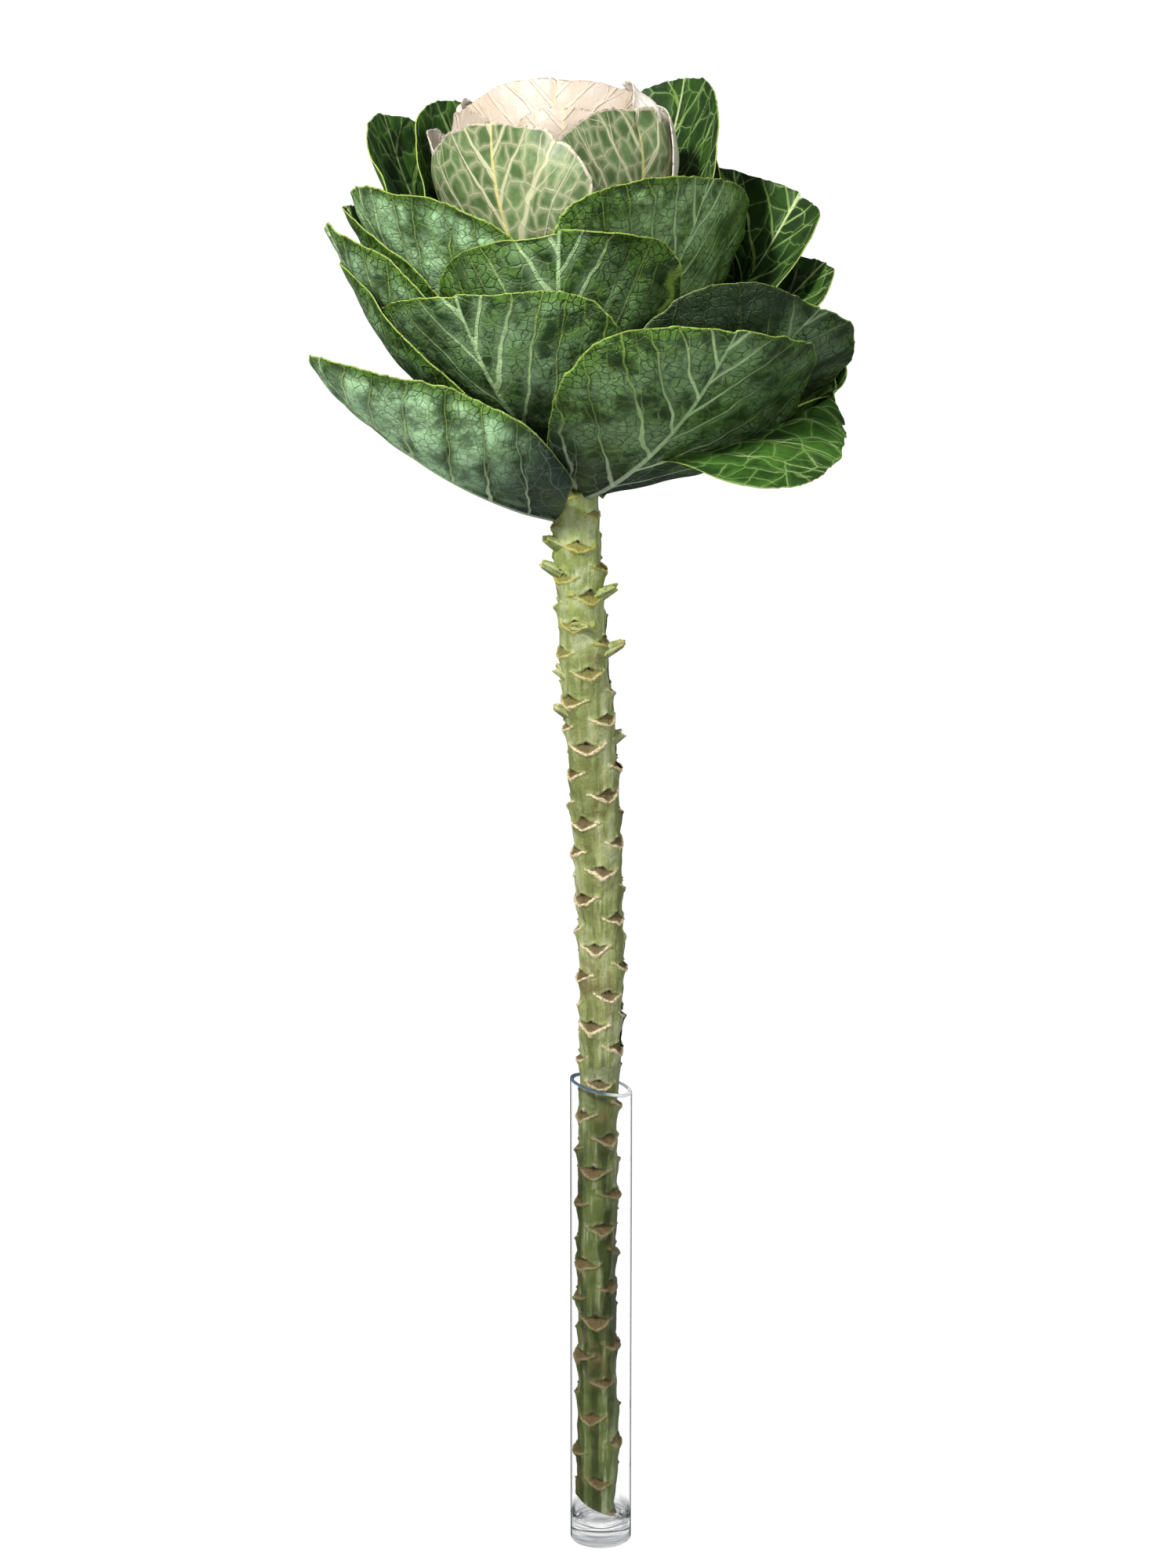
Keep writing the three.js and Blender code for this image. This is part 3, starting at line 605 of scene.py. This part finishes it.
class Finish:
    """A material being put together. Each method adds a node and gives back what comes out of it."""

    def __init__(self, name):
        self.material = bpy.data.materials.new(name)
        self.material.use_nodes = True
        self.tree = self.material.node_tree
        self.shader = self.tree.nodes["Principled BSDF"]

    def node(self, kind, inputs, output=0, **settings):
        made = self.tree.nodes.new(kind)
        for key, value in settings.items():
            setattr(made, key, value)
        for key, value in inputs.items():
            self.feed(made.inputs[key], value)
        return Value(self, made.outputs[output])

    def feed(self, socket, value):
        """Links a value to a socket or sets the socket; text is a colour's code."""
        if isinstance(value, Value):
            self.tree.links.new(value.socket, socket)
        elif isinstance(value, str):
            socket.default_value = tint(value)
        else:
            socket.default_value = value

    def set(self, **values):
        for name, value in values.items():
            self.feed(self.shader.inputs[name.replace("_", " ")], value)

    def calc(self, operation, a, b=0.0):
        return self.node("ShaderNodeMath", {0: a, 1: b}, operation=operation)

    def most(self, a, b):
        return self.calc("MAXIMUM", a, b)

    def least(self, a, b):
        return self.calc("MINIMUM", a, b)

    def size(self, a):
        return self.calc("ABSOLUTE", a)

    def scaled(self, vector, by):
        return self.node("ShaderNodeVectorMath", {0: vector, 1: by}, operation="MULTIPLY")

    def moved(self, vector, by):
        return self.node("ShaderNodeVectorMath", {0: vector, 1: by})

    def rise(self, x, low, high):
        """0 below low and 1 above high, smoothly; the other way round where low is more than high."""
        ends = {"To Min": 0.0, "To Max": 1.0}
        if low > high:
            low, high, ends = high, low, {"To Min": 1.0, "To Max": 0.0}
        inputs = {"Value": x, "From Min": low, "From Max": high, **ends}
        return self.node("ShaderNodeMapRange", inputs, interpolation_type="SMOOTHSTEP")

    def mix(self, share, low, high):
        inputs = {0: share, 6: low, 7: high}
        return self.node("ShaderNodeMix", inputs, output=2, data_type="RGBA")

    def coat(self, share, colour):
        """Lays a colour over the one that is there."""
        self.colour = self.mix(share, self.colour, colour)

    def field(self, name):
        return self.parts(self.node("ShaderNodeAttribute", {}, output=1, attribute_name=name))

    def parts(self, vector):
        first = self.node("ShaderNodeSeparateXYZ", {0: vector})
        return [Value(self, socket) for socket in first.socket.node.outputs]

    def grain(self, place, size, detail=2.0, output=0, rough=0.55):
        inputs = {"Vector": place, "Scale": 1 / size, "Detail": detail, "Roughness": rough}
        return self.node("ShaderNodeTexNoise", inputs, output=output)

    def cracks(self, place, size):
        """Distance to the nearest line of an irregular net with meshes of this size."""
        inputs = {"Vector": place, "Scale": 1 / size, "Randomness": 0.9}
        style = dict(feature="DISTANCE_TO_EDGE", voronoi_dimensions="2D")
        return self.node("ShaderNodeTexVoronoi", inputs, **style) * size

    def bumped(self, height):
        """Height in millimetres."""
        inputs = {"Strength": 1.0, "Distance": MM, "Height": height}
        self.feed(self.shader.inputs["Normal"], self.node("ShaderNodeBump", inputs))


class LeafFinish(Finish):
    """A finish with a leaf's own look, its flat places in millimetres, and its veins on their course."""

    def __init__(self, name, fine, main, rib):
        super().__init__(name)
        seed, self.green, _ = self.field("kind")
        self.bloom_and_light, self.painted_shade, self.yellow = self.field("look")
        number, self.reach, gap = self.field("vein")
        across, self.edge, self.u = self.field("blade")
        flat = self.scaled(self.node("ShaderNodeUVMap", {}, uv_map="flat"), (FLAT_SPAN, FLAT_SPAN, 0))
        self.place = self.moved(flat, self.node("ShaderNodeCombineXYZ", {0: seed, 1: seed * 7.3}))
        left = self.calc("GREATER_THAN", across, 0.0)
        number = number + left * 0.5 + (self.grain(self.place, 24) - 0.5) * 0.5
        self.share = self.calc("FRACT", number)
        whole = self.calc("FLOOR", number) + left * 40.0 + seed * 3.7
        self.chance, other = self.dice(whole), self.dice(whole + 0.5)
        self.to_side = self.least(self.share, 1.0 - self.share) * gap
        first = (other * 0.2 + 0.26) * self.rise(self.reach - (self.chance * 0.3 + 0.2), 0.0, 0.5)
        last = (self.chance * 0.2 + 0.22) * self.rise(self.reach - (other * 0.3 + 0.28), 0.0, 0.5)
        to_first, to_last = self.size(self.share - first) * gap, self.size(self.share - (1.0 - last)) * gap
        bend = self.moved(self.grain(self.place, 11, output=1), (-0.5, -0.5, -0.5))
        bent = self.moved(self.scaled(bend, (7, 7, 7)), self.place)
        self.to_net, self.to_fine = self.cracks(bent, fine), self.cracks(bent, fine * 0.42)
        near = 1.0 - self.reach
        taper = near * near * main + main * 0.2
        self.side = self.line(self.to_side, taper, 0.6)
        fork = self.line(self.least(to_first, to_last), taper * 0.62)
        self.fork = fork * self.rise(self.reach, 0.2, 0.35) * self.rise(self.edge, 0.5, 3.0)
        self.net = self.line(self.to_net, 0.22, 0.3)
        self.mid = self.line(self.size(across), (1.0 - self.u) * (rib - 0.35) + 0.35, 0.5)

    def line(self, distance, half, soft=0.35):
        """1 on a line of this half width, 0 beside it."""
        return self.rise(distance - half, soft, 0.0)

    def dice(self, number):
        return self.node("ShaderNodeTexWhiteNoise", {"W": number}, noise_dimensions="1D")

    def vein_coats(self, pale, net, fork, side):
        for vein, share in ((self.net, net), (self.fork, fork), (self.side, side)):
            self.coat(vein * share, pale)


def underside(rim=False):
    f = LeafFinish("leaf_rim" if rim else "leaf_underside", 11.0, 0.7, 1.8)
    quilt = 1.0 - f.calc("POWER", f.size(f.share * 2.0 - 1.0), 2.0)
    mottled = f.grain(f.place, 15, 5.0, rough=0.7)
    patch = f.grain(f.moved(f.place, (31, 17, 0)), 24, 3.0, rough=0.6)
    speckle = f.grain(f.place, 1.8, 4.0, rough=0.65)
    cell = f.rise(f.to_net, 0.2, 5.0)
    f.colour = f.mix(f.rise(mottled, 0.4, 0.6), "1b310e", "34531c")
    f.coat(f.rise(speckle, 0.42, 0.66) * 0.5, "1c3018")
    # Waxy powder: the leaf's own pale bloom, but laid on most over the tops of the bulges between side
    # veins, so partly a painted sheen.
    bloom_and_sheen = f.rise(quilt * 0.25 + (patch * 1.2 + speckle * 0.35), 0.6, 1.15)
    bloom_and_sheen = f.bloom_and_light * bloom_and_sheen * (cell * 0.35 + 0.65) * f.rise(f.edge, 1.0, 10.0)
    f.coat(bloom_and_sheen, f.mix(f.yellow * 0.7, "90b48b", "789654"))
    f.coat(f.yellow * f.rise(patch, 0.56, 0.4) * 0.75, "466422")
    margin = f.rise(f.edge, 12.0, 0.5) * f.rise(mottled, 0.3, 0.6) * 0.8
    f.coat(margin, "486a25")
    # Dark slate near the base: partly the leaf's own slate tint, partly painted shade where the underside
    # turns down towards the stem.
    slate_and_shade = f.rise(f.u, 0.45, 0.12) * f.rise(patch, 0.25, 0.5) * 0.95
    f.coat(slate_and_shade, "1a2625")
    # Painted shade: dark patches where the mottled relief sinks into hollows between its bulges.
    painted_hollow_shade = f.rise(mottled + patch * 0.6, 0.84, 0.68) * (0.95 - f.bloom_and_light * 0.28)
    f.coat(painted_hollow_shade, "14250c")
    crackle = f.line(f.to_fine, 0.08, 0.4) * f.most(f.rise(patch, 0.36, 0.54), f.rise(f.edge, 26.0, 10.0))
    crackle = crackle * f.rise(mottled, 0.3, 0.55) * (0.9 - bloom_and_sheen * 0.35)
    f.coat(crackle, "12220b")
    # Painted shade in the creases beside the side veins, which are also bumped down.
    crease_shade = f.rise(f.to_side, 2.6, 0.7) * (1.0 - f.side) * 0.15
    f.coat(crease_shade, "1a2f10")
    halo = f.rise(f.to_side, 5.5, 0.6) * f.rise(f.reach, 0.75, 0.1) * (f.chance + 0.15)
    f.coat(halo * f.rise(f.u, 0.25, 0.5) * 0.6, "6f8a62")
    pale = f.mix(f.rise(f.reach, 0.1, 0.8), "95b07e", "6f883c")
    pale = f.mix(f.rise(f.u, 0.4, 0.1), pale, "98a68e")
    shown = f.rise(f.grain(f.place, 30, 1.0), 0.35, 0.6) * 0.4 + 0.6
    shown = shown * (1.2 - f.reach * 0.5)
    f.vein_coats(pale, shown * 0.16, shown * 0.4, shown * 0.85)
    f.coat(f.mid * 0.7, pale)
    f.coat(f.rise(f.edge, 0.9, 0.3) * 0.55, "82953f")
    # Painted shade: the leaf darkened as a whole and towards a margin, where it lies in shadow.
    f.coat(f.painted_shade, "152116")
    if rim:
        f.coat(0.55, "889a48")
    f.set(Base_Color=f.colour, Roughness=speckle * 0.3 + (0.27 - bloom_and_sheen * 0.06), Specular_IOR_Level=0.5)
    height = f.side * 0.5 + (f.fork * 0.3 + f.net * 0.1) + cell * 0.3
    height = height + (mottled * 1.6 + speckle * 0.16)
    f.bumped(height - (crackle * 0.3 + crease_shade * 0.35))
    return f.material


def upperside():
    f = LeafFinish("leaf_upperside", 14.0, 0.75, 1.8)
    mottled = f.grain(f.place, 20, 3.0)
    speckle = f.grain(f.place, 2.0, 3.0)
    f.colour = f.mix(f.rise(mottled, 0.4, 0.62), "1a2f10", "2a4915")
    f.coat(f.rise(f.least(f.to_side, f.to_net), 2.6, 0.4) * 0.3, "3f602b")
    f.coat(f.rise(speckle, 0.5, 0.75) * 0.3, "162810")
    # Painted shade: the leaf darkened as a whole and towards a margin, where it lies in shadow.
    f.coat(f.painted_shade, "101d0c")
    f.vein_coats(f.mix(f.rise(mottled, 0.4, 0.6), "71854f", "597339"), 0.5, 0.4, 0.75)
    f.coat(f.mid * 0.9, "8c9a6c")
    f.set(Base_Color=f.colour, Roughness=speckle * 0.2 + 0.45, Specular_IOR_Level=0.2)
    height = f.rise(f.to_net, 0.2, 3.4) * 0.6 - (f.side * 0.4 + f.fork * 0.25)
    f.bumped(height + (mottled + speckle * 0.1))
    return f.material


def heart_side(under):
    f = LeafFinish("heart_underside" if under else "heart_upperside", 9.5, 0.8, 1.7)
    mottled = f.grain(f.place, 15, 4.0)
    speckle = f.grain(f.place, 1.8, 3.0)
    cream = f.mix(f.rise(mottled, 0.35, 0.65), "8f8479", "9a9086")
    cream = f.mix(f.yellow * f.rise(mottled, 0.7, 0.4) * 0.6, cream, "a89880")
    # Painted light: a paler cream on heart leaves that stand in shade, so that they look lit.
    cream = f.mix(f.rise(f.bloom_and_light, 0.6, 1.0), cream, "b5aea5")
    sage = f.mix(f.rise(mottled, 0.4, 0.62), "3a4d28", "536840")
    sage = f.mix(f.rise(speckle, 0.42, 0.62) * 0.5, sage, "3c5230")
    blotch = f.grain(f.place, 9, 3.0) * 0.5 + f.rise(f.edge, 0.2, 2.2) * 0.6
    blotch = blotch + (f.rise(f.u, 0.15, 0.6) * 0.45 - 0.45)
    f.colour = f.mix(f.green * f.rise(blotch, 0.42, 0.7), cream, sage)
    pale = f.mix(f.green, "b3a797", "9d9d7e")
    f.coat(f.rise(f.least(f.to_side, f.to_net), 2.6, 0.2) * f.green * 0.35, pale)
    f.vein_coats(pale, f.green * 0.12 + 0.1, f.green * 0.45 + 0.2, f.green * 0.45 + 0.3)
    f.coat(f.mid * (f.green * 0.5 + 0.3), "a79e68")
    # Painted shade on the heart leaf: darkened as a whole and towards a margin.
    f.coat(f.painted_shade, "857d72")
    dots = f.rise(f.edge, 1.6, 0.3) * f.rise(f.grain(f.place, 2.6), 0.5, 0.62)
    f.coat(dots * 0.6, "4c4f31")
    f.set(Base_Color=f.colour, Roughness=speckle * 0.2 + 0.38)
    f.set(Subsurface_Weight=0.25, Subsurface_Radius=(0.004, 0.0035, 0.003), Subsurface_Scale=0.4)
    height = f.side * 0.4 + (f.fork * 0.25 + f.net * 0.12)
    height = height * (1.0 if under else -1.0)
    f.bumped(height + (mottled * 0.7 + speckle * 0.12))
    return f.material


# ---- stem ----
STEM_ROUND = 96
STEM_ROWS = 860
CAP_ROWS = 4  # rows that close each end
STEM_FOOT = 20
SCARRED = 588  # height up to which the stem shows its leaf scars
STEM_TOP = 698


def scar_places():
    """Height, azimuth and size of each leaf scar: a spiral that closes up towards the head."""
    chance = np.random.default_rng(3)
    places = []
    z = 22.0
    while z < SCARRED:
        places.append((z, len(places) * 137.5 + chance.uniform(-8, 8), chance.uniform(0.95, 1.3)))
        z += np.interp(z, (20, 250, 400, 590), (7.2, 6.2, 4.9, 5.0)) * chance.uniform(0.85, 1.15)
    return places


def scar_marks(angle, z, girth):
    """Relief of the leaf scars in millimetres, and how much of each place is cork, pit or bud."""
    relief, cork, pit, bud = np.zeros((4,) + z.shape)
    torn = 0.8 * cloud(angle * 11, z, 5, 73) + 0.5 * cloud(angle * 11, z, 2.2, 74)
    for number, (height, azimuth, size) in enumerate(scar_places()):
        near = np.abs(z - height) < 22
        across = (angle[near] - radians(azimuth) + pi) % (2 * pi) - pi
        x = across * girth[near] / 2 / size
        y = (z[near] - height) / size + torn[near] + 0.06 * x * np.sin(number * 2.3)
        reach = np.clip(1 - np.abs(x) / 10, 0, 1)
        inside = smoothstep(0, 0.12, reach)
        lower = -4.1 * reach ** 1.3 + 0.7
        upper = 2.2 * np.exp(-(x / 2.6) ** 2) + 1.2 * (1 - reach) ** 2
        wide = 0.5 + 0.8 * reach * (1 + 0.5 * np.sin(number * 1.7 + 0.5 * x))
        ledge = np.exp(-((y - lower) / wide) ** 2) * inside
        hollow = smoothstep(-0.1, 0.6, y - lower) * smoothstep(0.2, -0.4, y - upper) * inside
        brow = np.exp(-((y - upper - 0.3) / 0.6) ** 2) * inside
        knob = np.exp(-(x / 1.2) ** 2 - ((y - 1.9) / 1.2) ** 2)
        swell = np.exp(-(x / 9.5) ** 2) * np.where(y > -2.6, np.exp(-((y + 2.6) / 2.2) ** 2),
                                                   np.exp(-((y + 2.6) / 6.5) ** 2))
        relief[near] += size * (1.2 * ledge - 0.8 * hollow + 0.4 * brow + 0.9 * knob + 1.6 * swell)
        cork[near] = np.maximum(cork[near], ledge)
        pit[near] = np.maximum(pit[near], hollow)
        bud[near] = np.maximum(bud[near], knob)
    return relief, cork, pit, bud


def stem_points():
    """Places of the stem's skin, foot to top, with both ends closed to their middles."""
    rows = np.arange(STEM_ROWS + 1)
    run = np.clip((rows - CAP_ROWS) / (STEM_ROWS - 2 * CAP_ROWS), 0, 1)
    tall = STEM_TOP - STEM_FOOT
    heights = STEM_FOOT + tall * np.interp(run, (0, 0.93, 1), (0, (SCARRED - STEM_FOOT) / tall, 1))
    ends = np.clip(np.minimum(rows, STEM_ROWS - rows) / CAP_ROWS, 0, 1)
    ends = np.interp(ends, (0, 0.25, 0.5, 0.75, 1), (0, 0.5, 0.9, 0.975, 1))
    z, angle = np.meshgrid(heights, np.linspace(0, 2 * pi, STEM_ROUND + 1), indexing="ij")
    weights = spline(STEM[:, 0], heights)
    sx, sy, girth = ((weights @ STEM[:, k])[:, None] for k in (1, 2, 3))
    girth = girth * np.ones(z.shape)
    radius = girth / 2
    relief, cork, pit, bud = scar_marks(angle, z, girth)
    skin = 0.35 * cloud(angle * 11, z, 5, 71) + 0.5 * cloud(angle * 11, z * 0.5, 16, 72)
    radius = radius + (relief + skin - 0.8) * smoothstep(0, 0.9, ends)[:, None]
    radius = radius * ends[:, None]
    x, y = radius * np.cos(angle), radius * np.sin(angle)
    lift = np.clip((60 - z) / 40, 0, 1)
    z = z - STEM_CUT * x * lift
    return np.stack([x + sx, y + sy, z], -1), np.stack([cork, pit, bud], -1)


def stub_points(height, azimuth, out):
    """The stump of a leaf stalk, broken off rough and hollowed where it has dried."""
    around = np.linspace(0, 2 * pi, 33)
    run, turn = np.meshgrid(np.linspace(0, 1, 25), around, indexing="ij")
    side = np.clip(run / 0.6, 0, 1)
    face = np.clip((run - 0.6) / 0.4, 0, 1)
    radius = (4.6 - 2.0 * side) * (1 - face)
    rough = 1 + 0.10 * np.sin(3 * turn + height) + 0.05 * np.sin(7 * turn + azimuth)
    broken = side ** 3 * (0.9 * np.sin(2 * turn + height) + 0.4 * np.sin(5 * turn)) * (1 - face)
    along = side * (out + 4) - 4 + broken - 1.4 * smoothstep(0.15, 0.9, face)
    y, z = radius * 1.75 * rough * np.cos(turn), radius * 0.85 * rough * np.sin(turn)
    sx, sy, girth = stem_at(height)
    x = girth / 2 + along * np.cos(0.45) - z * np.sin(0.45)
    z = height + along * np.sin(0.45) + z * np.cos(0.45)
    c, n = np.cos(radians(azimuth)), np.sin(radians(azimuth))
    points = np.stack([sx + x * c - y * n, sy + x * n + y * c, z], -1)
    rim = side ** 6 * (1 - smoothstep(0.1, 0.5, face))
    marks = np.stack([0.75 * rim, 0.8 * smoothstep(0.3, 0.8, face), 0 * rim], -1)
    return points, marks


def tube_mesh(name, points, marks=None):
    """A closed skin over rows of points that run round, first row to last."""
    mesh, i, j = grid_mesh(name, points.shape[0] - 1, points.shape[1] - 1)
    set_points(mesh, points[i, j])
    if marks is not None:
        set_field(mesh, "mark", marks[i, j])
    return mesh


def build_stem(finish):
    bm = bmesh.new()
    bm.from_mesh(tube_mesh("stem", *stem_points()))
    for height, azimuth, out in STUBS:
        bm.from_mesh(tube_mesh("stub", *stub_points(height, azimuth, out)))
    hand_over_bmesh(bm, "stem_skin", finish, "stem")


def stem_finish():
    f = Finish("stem_skin")
    cork, pit, bud = f.field("mark")
    coords = f.node("ShaderNodeTexCoord", {}, output="Object")
    place = f.scaled(coords, (1000, 1000, 1000))
    streaky = f.scaled(coords, (1000, 1000, 110))
    z = f.parts(place)[2]
    streak = f.grain(streaky, 3.6, 4.0, rough=0.6)
    broad = f.grain(streaky, 10, 3.0)
    mottled = f.grain(place, 20, 5.0, rough=0.65)
    speckle = f.grain(place, 1.3, 4.0, rough=0.65)
    height = z + (mottled - 0.5) * 150.0
    upper = f.mix(f.rise(broad, 0.4, 0.6), "5b6235", "787e4d")
    lower = f.mix(f.rise(broad, 0.42, 0.58), "222a08", "434d22")
    f.colour = f.mix(f.rise(height, 340.0, 190.0), upper, lower)
    f.coat(f.rise(height, 440.0, 550.0) * 0.7, "6c7a3f")
    pale = f.rise(streak, 0.48, 0.64) * f.rise(broad, 0.42, 0.58)
    pale = f.most(pale, f.rise(mottled, 0.48, 0.36) * f.rise(z, 200.0, 300.0) * 0.8)
    f.coat(pale * 0.7, f.mix(f.rise(z, 200.0, 300.0), "70775a", "8d9276"))
    f.coat(f.rise(streak, 0.46, 0.32) * 0.55, "333f14")
    f.coat(f.rise(mottled, 0.52, 0.68) * 0.65, "4c3f22")
    f.coat(f.rise(speckle, 0.5, 0.7) * 0.35, "343b1a")
    fresh = f.rise(z, 430.0, 520.0)
    old = f.rise(z, 300.0, 200.0)
    ring = f.rise(cork + (speckle - 0.5) * 1.3, 0.2, 0.8)
    rind = f.mix(f.rise(speckle, 0.38, 0.55), "7d6c48", "b3a68a")
    rind = f.mix(old, f.mix(fresh, rind, "7e7a35"), "65573a")
    f.coat(ring * (0.9 - old * 0.3), rind)
    scar = f.rise(pit - ring * 0.35 + (speckle - 0.5) * 1.3, 0.2, 0.7)
    f.coat(scar * 0.85, f.mix(fresh, "46371c", "5f5a24"))
    f.coat(f.rise(bud, 0.4, 0.8), "211611")
    f.set(Base_Color=f.colour, Roughness=speckle * 0.25 + 0.4)
    relief = streak * 1.1 + (mottled * 1.2 + speckle * 0.35)
    f.bumped(relief + scar * (speckle * 0.6))
    return f.material


# ---- vase ----
VASE_ROUND = 112
SLANTED = 200  # height from which its rows tilt, more and more up to the slanted lip


def vase_points():
    """Places of the glass: from the middle of its foot up the outside, over the lip and down the bore."""
    radius, wall, height, foot, bowl, edge, slope = VASE.values()
    bore = radius - wall
    turn = np.radians(np.linspace(0, 90, 7))
    outer = [(0, 0), (6, 0.15), (12, 0)]
    outer += [(radius - edge + edge * np.sin(a), edge - edge * np.cos(a)) for a in turn]
    outer += [(radius, z) for z in np.linspace(12, height - 1, 24)]
    mid = (radius + bore) / 2
    lip = [(mid + wall / 2 * np.cos(a), height - 1 + np.sin(a)) for a in np.linspace(0, pi, 9)]
    inner = [(bore, z) for z in np.linspace(height - 1, foot + bowl + 2, 24)]
    round_ = np.radians(np.linspace(0, 90, 15))
    inner += [(bore * np.cos(a), foot + bowl - bowl * np.sin(a)) for a in round_]
    out, z = np.array(outer + lip[1:-1] + inner).T[..., None]
    around = np.linspace(0, 2 * pi, VASE_ROUND + 1)
    x, y = out * np.cos(around), out * np.sin(around)
    lift = np.maximum(z - SLANTED, 0) / (height - SLANTED)
    return np.stack([x, y, z - slope * x * lift], -1)


def build_vase(finish):
    bm = bmesh.new()
    bm.from_mesh(tube_mesh("vase", vase_points()))
    hand_over_bmesh(bm, "vase_glass", finish, "vase")


def glass_finish():
    """Clear glass, with painted dark grey along its edges, painted shade and highlight on its cut lip, and
    painted grey bands in its thick foot.
    """
    f = Finish("clear_glass")
    coords = f.node("ShaderNodeTexCoord", {}, output="Object")
    side, _, height = f.parts(coords)
    foot_band_place = f.scaled(coords, (25, 25, 420))
    out = f.node("ShaderNodeVectorMath", {0: f.scaled(coords, (1, 1, 0))}, output=1, operation="LENGTH")
    outer = f.rise(out, 0.0152, 0.0162)
    facing = f.node("ShaderNodeLayerWeight", {"Blend": 0.5}, output=1)
    foot = f.rise(height, 0.021, 0.012)
    lip = f.rise(height + side * VASE["slope"], 0.2562, 0.257)
    # Painted shade: the wall is made dark grey and less clear where it turns away, for the darker
    # surroundings it shows there.
    edge = f.rise(facing, 0.6, 0.86) * outer
    f.set(Alpha=f.most(f.most(edge * 0.7 + 0.03, foot), lip))
    # Painted grey bands across the thick foot, for the light that its clear glass bends.
    painted_foot_bands = f.rise(f.grain(foot_band_place, 1.0, 3.0, rough=0.7), 0.42, 0.6)
    body = f.mix(foot, tint("f4f7f7", 1), f.mix(painted_foot_bands, tint("9a9c9e", 1), tint("fbfcfc", 1)))
    body = f.mix(edge, body, tint("3c4346", 1))
    # Painted shade and highlight on the cut lip: dark slate blue on its left half, pale on its right.
    lip_shade_and_highlight = f.mix(f.rise(side, 0.0, 0.009), tint("48606f", 1), tint("e4e9ea", 1))
    f.set(Base_Color=f.mix(lip, body, lip_shade_and_highlight), Roughness=0.0, IOR=1.4)
    f.set(Transmission_Weight=1.0 - f.most(edge, lip) * 0.85)
    return f.material


# ---- studio ----
def build_room(name, first, last, lights):
    """One side of a pale round room: its floor and the wall that the floor sweeps up into."""
    floor, sweep, wall, middle = 2.4, 1.6, 2.2, -0.25
    run = np.linspace(0, 1, 49)
    turn = np.clip((run - 0.5) / 0.3, 0, 1) * pi / 2
    out = np.where(run < 0.5, run * 2 * floor, floor + sweep * np.sin(turn))
    up = sweep * (1 - np.cos(turn)) + np.maximum(run - 0.8, 0) / 0.2 * wall
    mesh, i, j = grid_mesh(name, 48, 36)
    around = radians(first) + radians(last - first) * np.linspace(0, 1, 37)
    x, y = out[:, None] * np.sin(around), out[:, None] * np.cos(around) + middle
    points = np.stack([x, y, up[:, None] * np.ones(37)], -1)
    set_points(mesh, points[i, j] / MM)
    f = Finish("pale_paper")
    f.set(Base_Color=(0.06, 0.06, 0.06, 1), Roughness=0.9, Specular_IOR_Level=0.0)
    f.set(Emission_Color=(1, 1, 1, 1), Emission_Strength=1.02)
    mesh.materials.append(f.material)
    room = add_object(name, mesh)
    room.visible_diffuse = lights
    room.visible_glossy = False
    room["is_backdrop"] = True


def add_lamp(name, place, aim, size, power, beam=180, colour=(1, 1, 1)):
    lamp = bpy.data.lights.new(name, "AREA")
    lamp.shape = "DISK"
    lamp.size = size
    lamp.energy = power
    lamp.spread = radians(beam)
    lamp.color = colour
    holder = bpy.data.objects.new(name, lamp)
    holder.location = place
    holder.rotation_euler = (Vector(aim) - Vector(place)).to_track_quat("-Z", "Y").to_euler()
    bpy.context.scene.collection.objects.link(holder)


def light_studio():
    world = bpy.data.worlds.new("studio")
    bpy.context.scene.world = world
    world.use_nodes = True
    sky = world.node_tree.nodes["Background"].inputs
    sky["Color"].default_value = (0.92, 0.96, 1.0, 1)
    sky["Strength"].default_value = 0.06
    add_lamp("key_lamp", (-0.95, -1.45, 1.95), (0, 0, 0.6), 0.34, 27.5, 120, (1, 0.98, 0.95))
    add_lamp("low_lamp", (-0.6, -1.7, 0.5), (0, 0, 0.3), 0.5, 5.5)
    add_lamp("right_lamp", (1.1, -1.5, 1.3), (0, 0, 0.65), 0.5, 6, 120)


def add_camera():
    camera = bpy.data.cameras.new("camera")
    camera.sensor_width = 36
    camera.lens = 65.898
    camera.clip_start = 0.05
    holder = bpy.data.objects.new("camera", camera)
    holder.location = (-0.007, -1.48, 0.690)
    holder.rotation_euler = (radians(90 - 10.32), 0, 0)
    bpy.context.scene.collection.objects.link(holder)
    bpy.context.scene.camera = holder
    bpy.context.scene.view_settings.view_transform = "Standard"


add_camera()
light_studio()
build_room("studio_back", -90, 90, True)
build_room("studio_front", 90, 270, False)
green_finishes = (upperside(), underside(), underside(rim=True))
heart_under = heart_side(True)
heart_finishes = (heart_side(False), heart_under, heart_under)
laid_leaves = lay_leaves()
leaf_habits(laid_leaves)
for laid_leaf in laid_leaves:
    build_leaf(laid_leaf, heart_finishes if laid_leaf["heart"] else green_finishes)
build_stem(stem_finish())
build_vase(glass_finish())

sizes = {"cad": cad_box, "visual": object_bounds()}
sizes = {key: [[float(n) for n in corner] for corner in box] for key, box in sizes.items()}
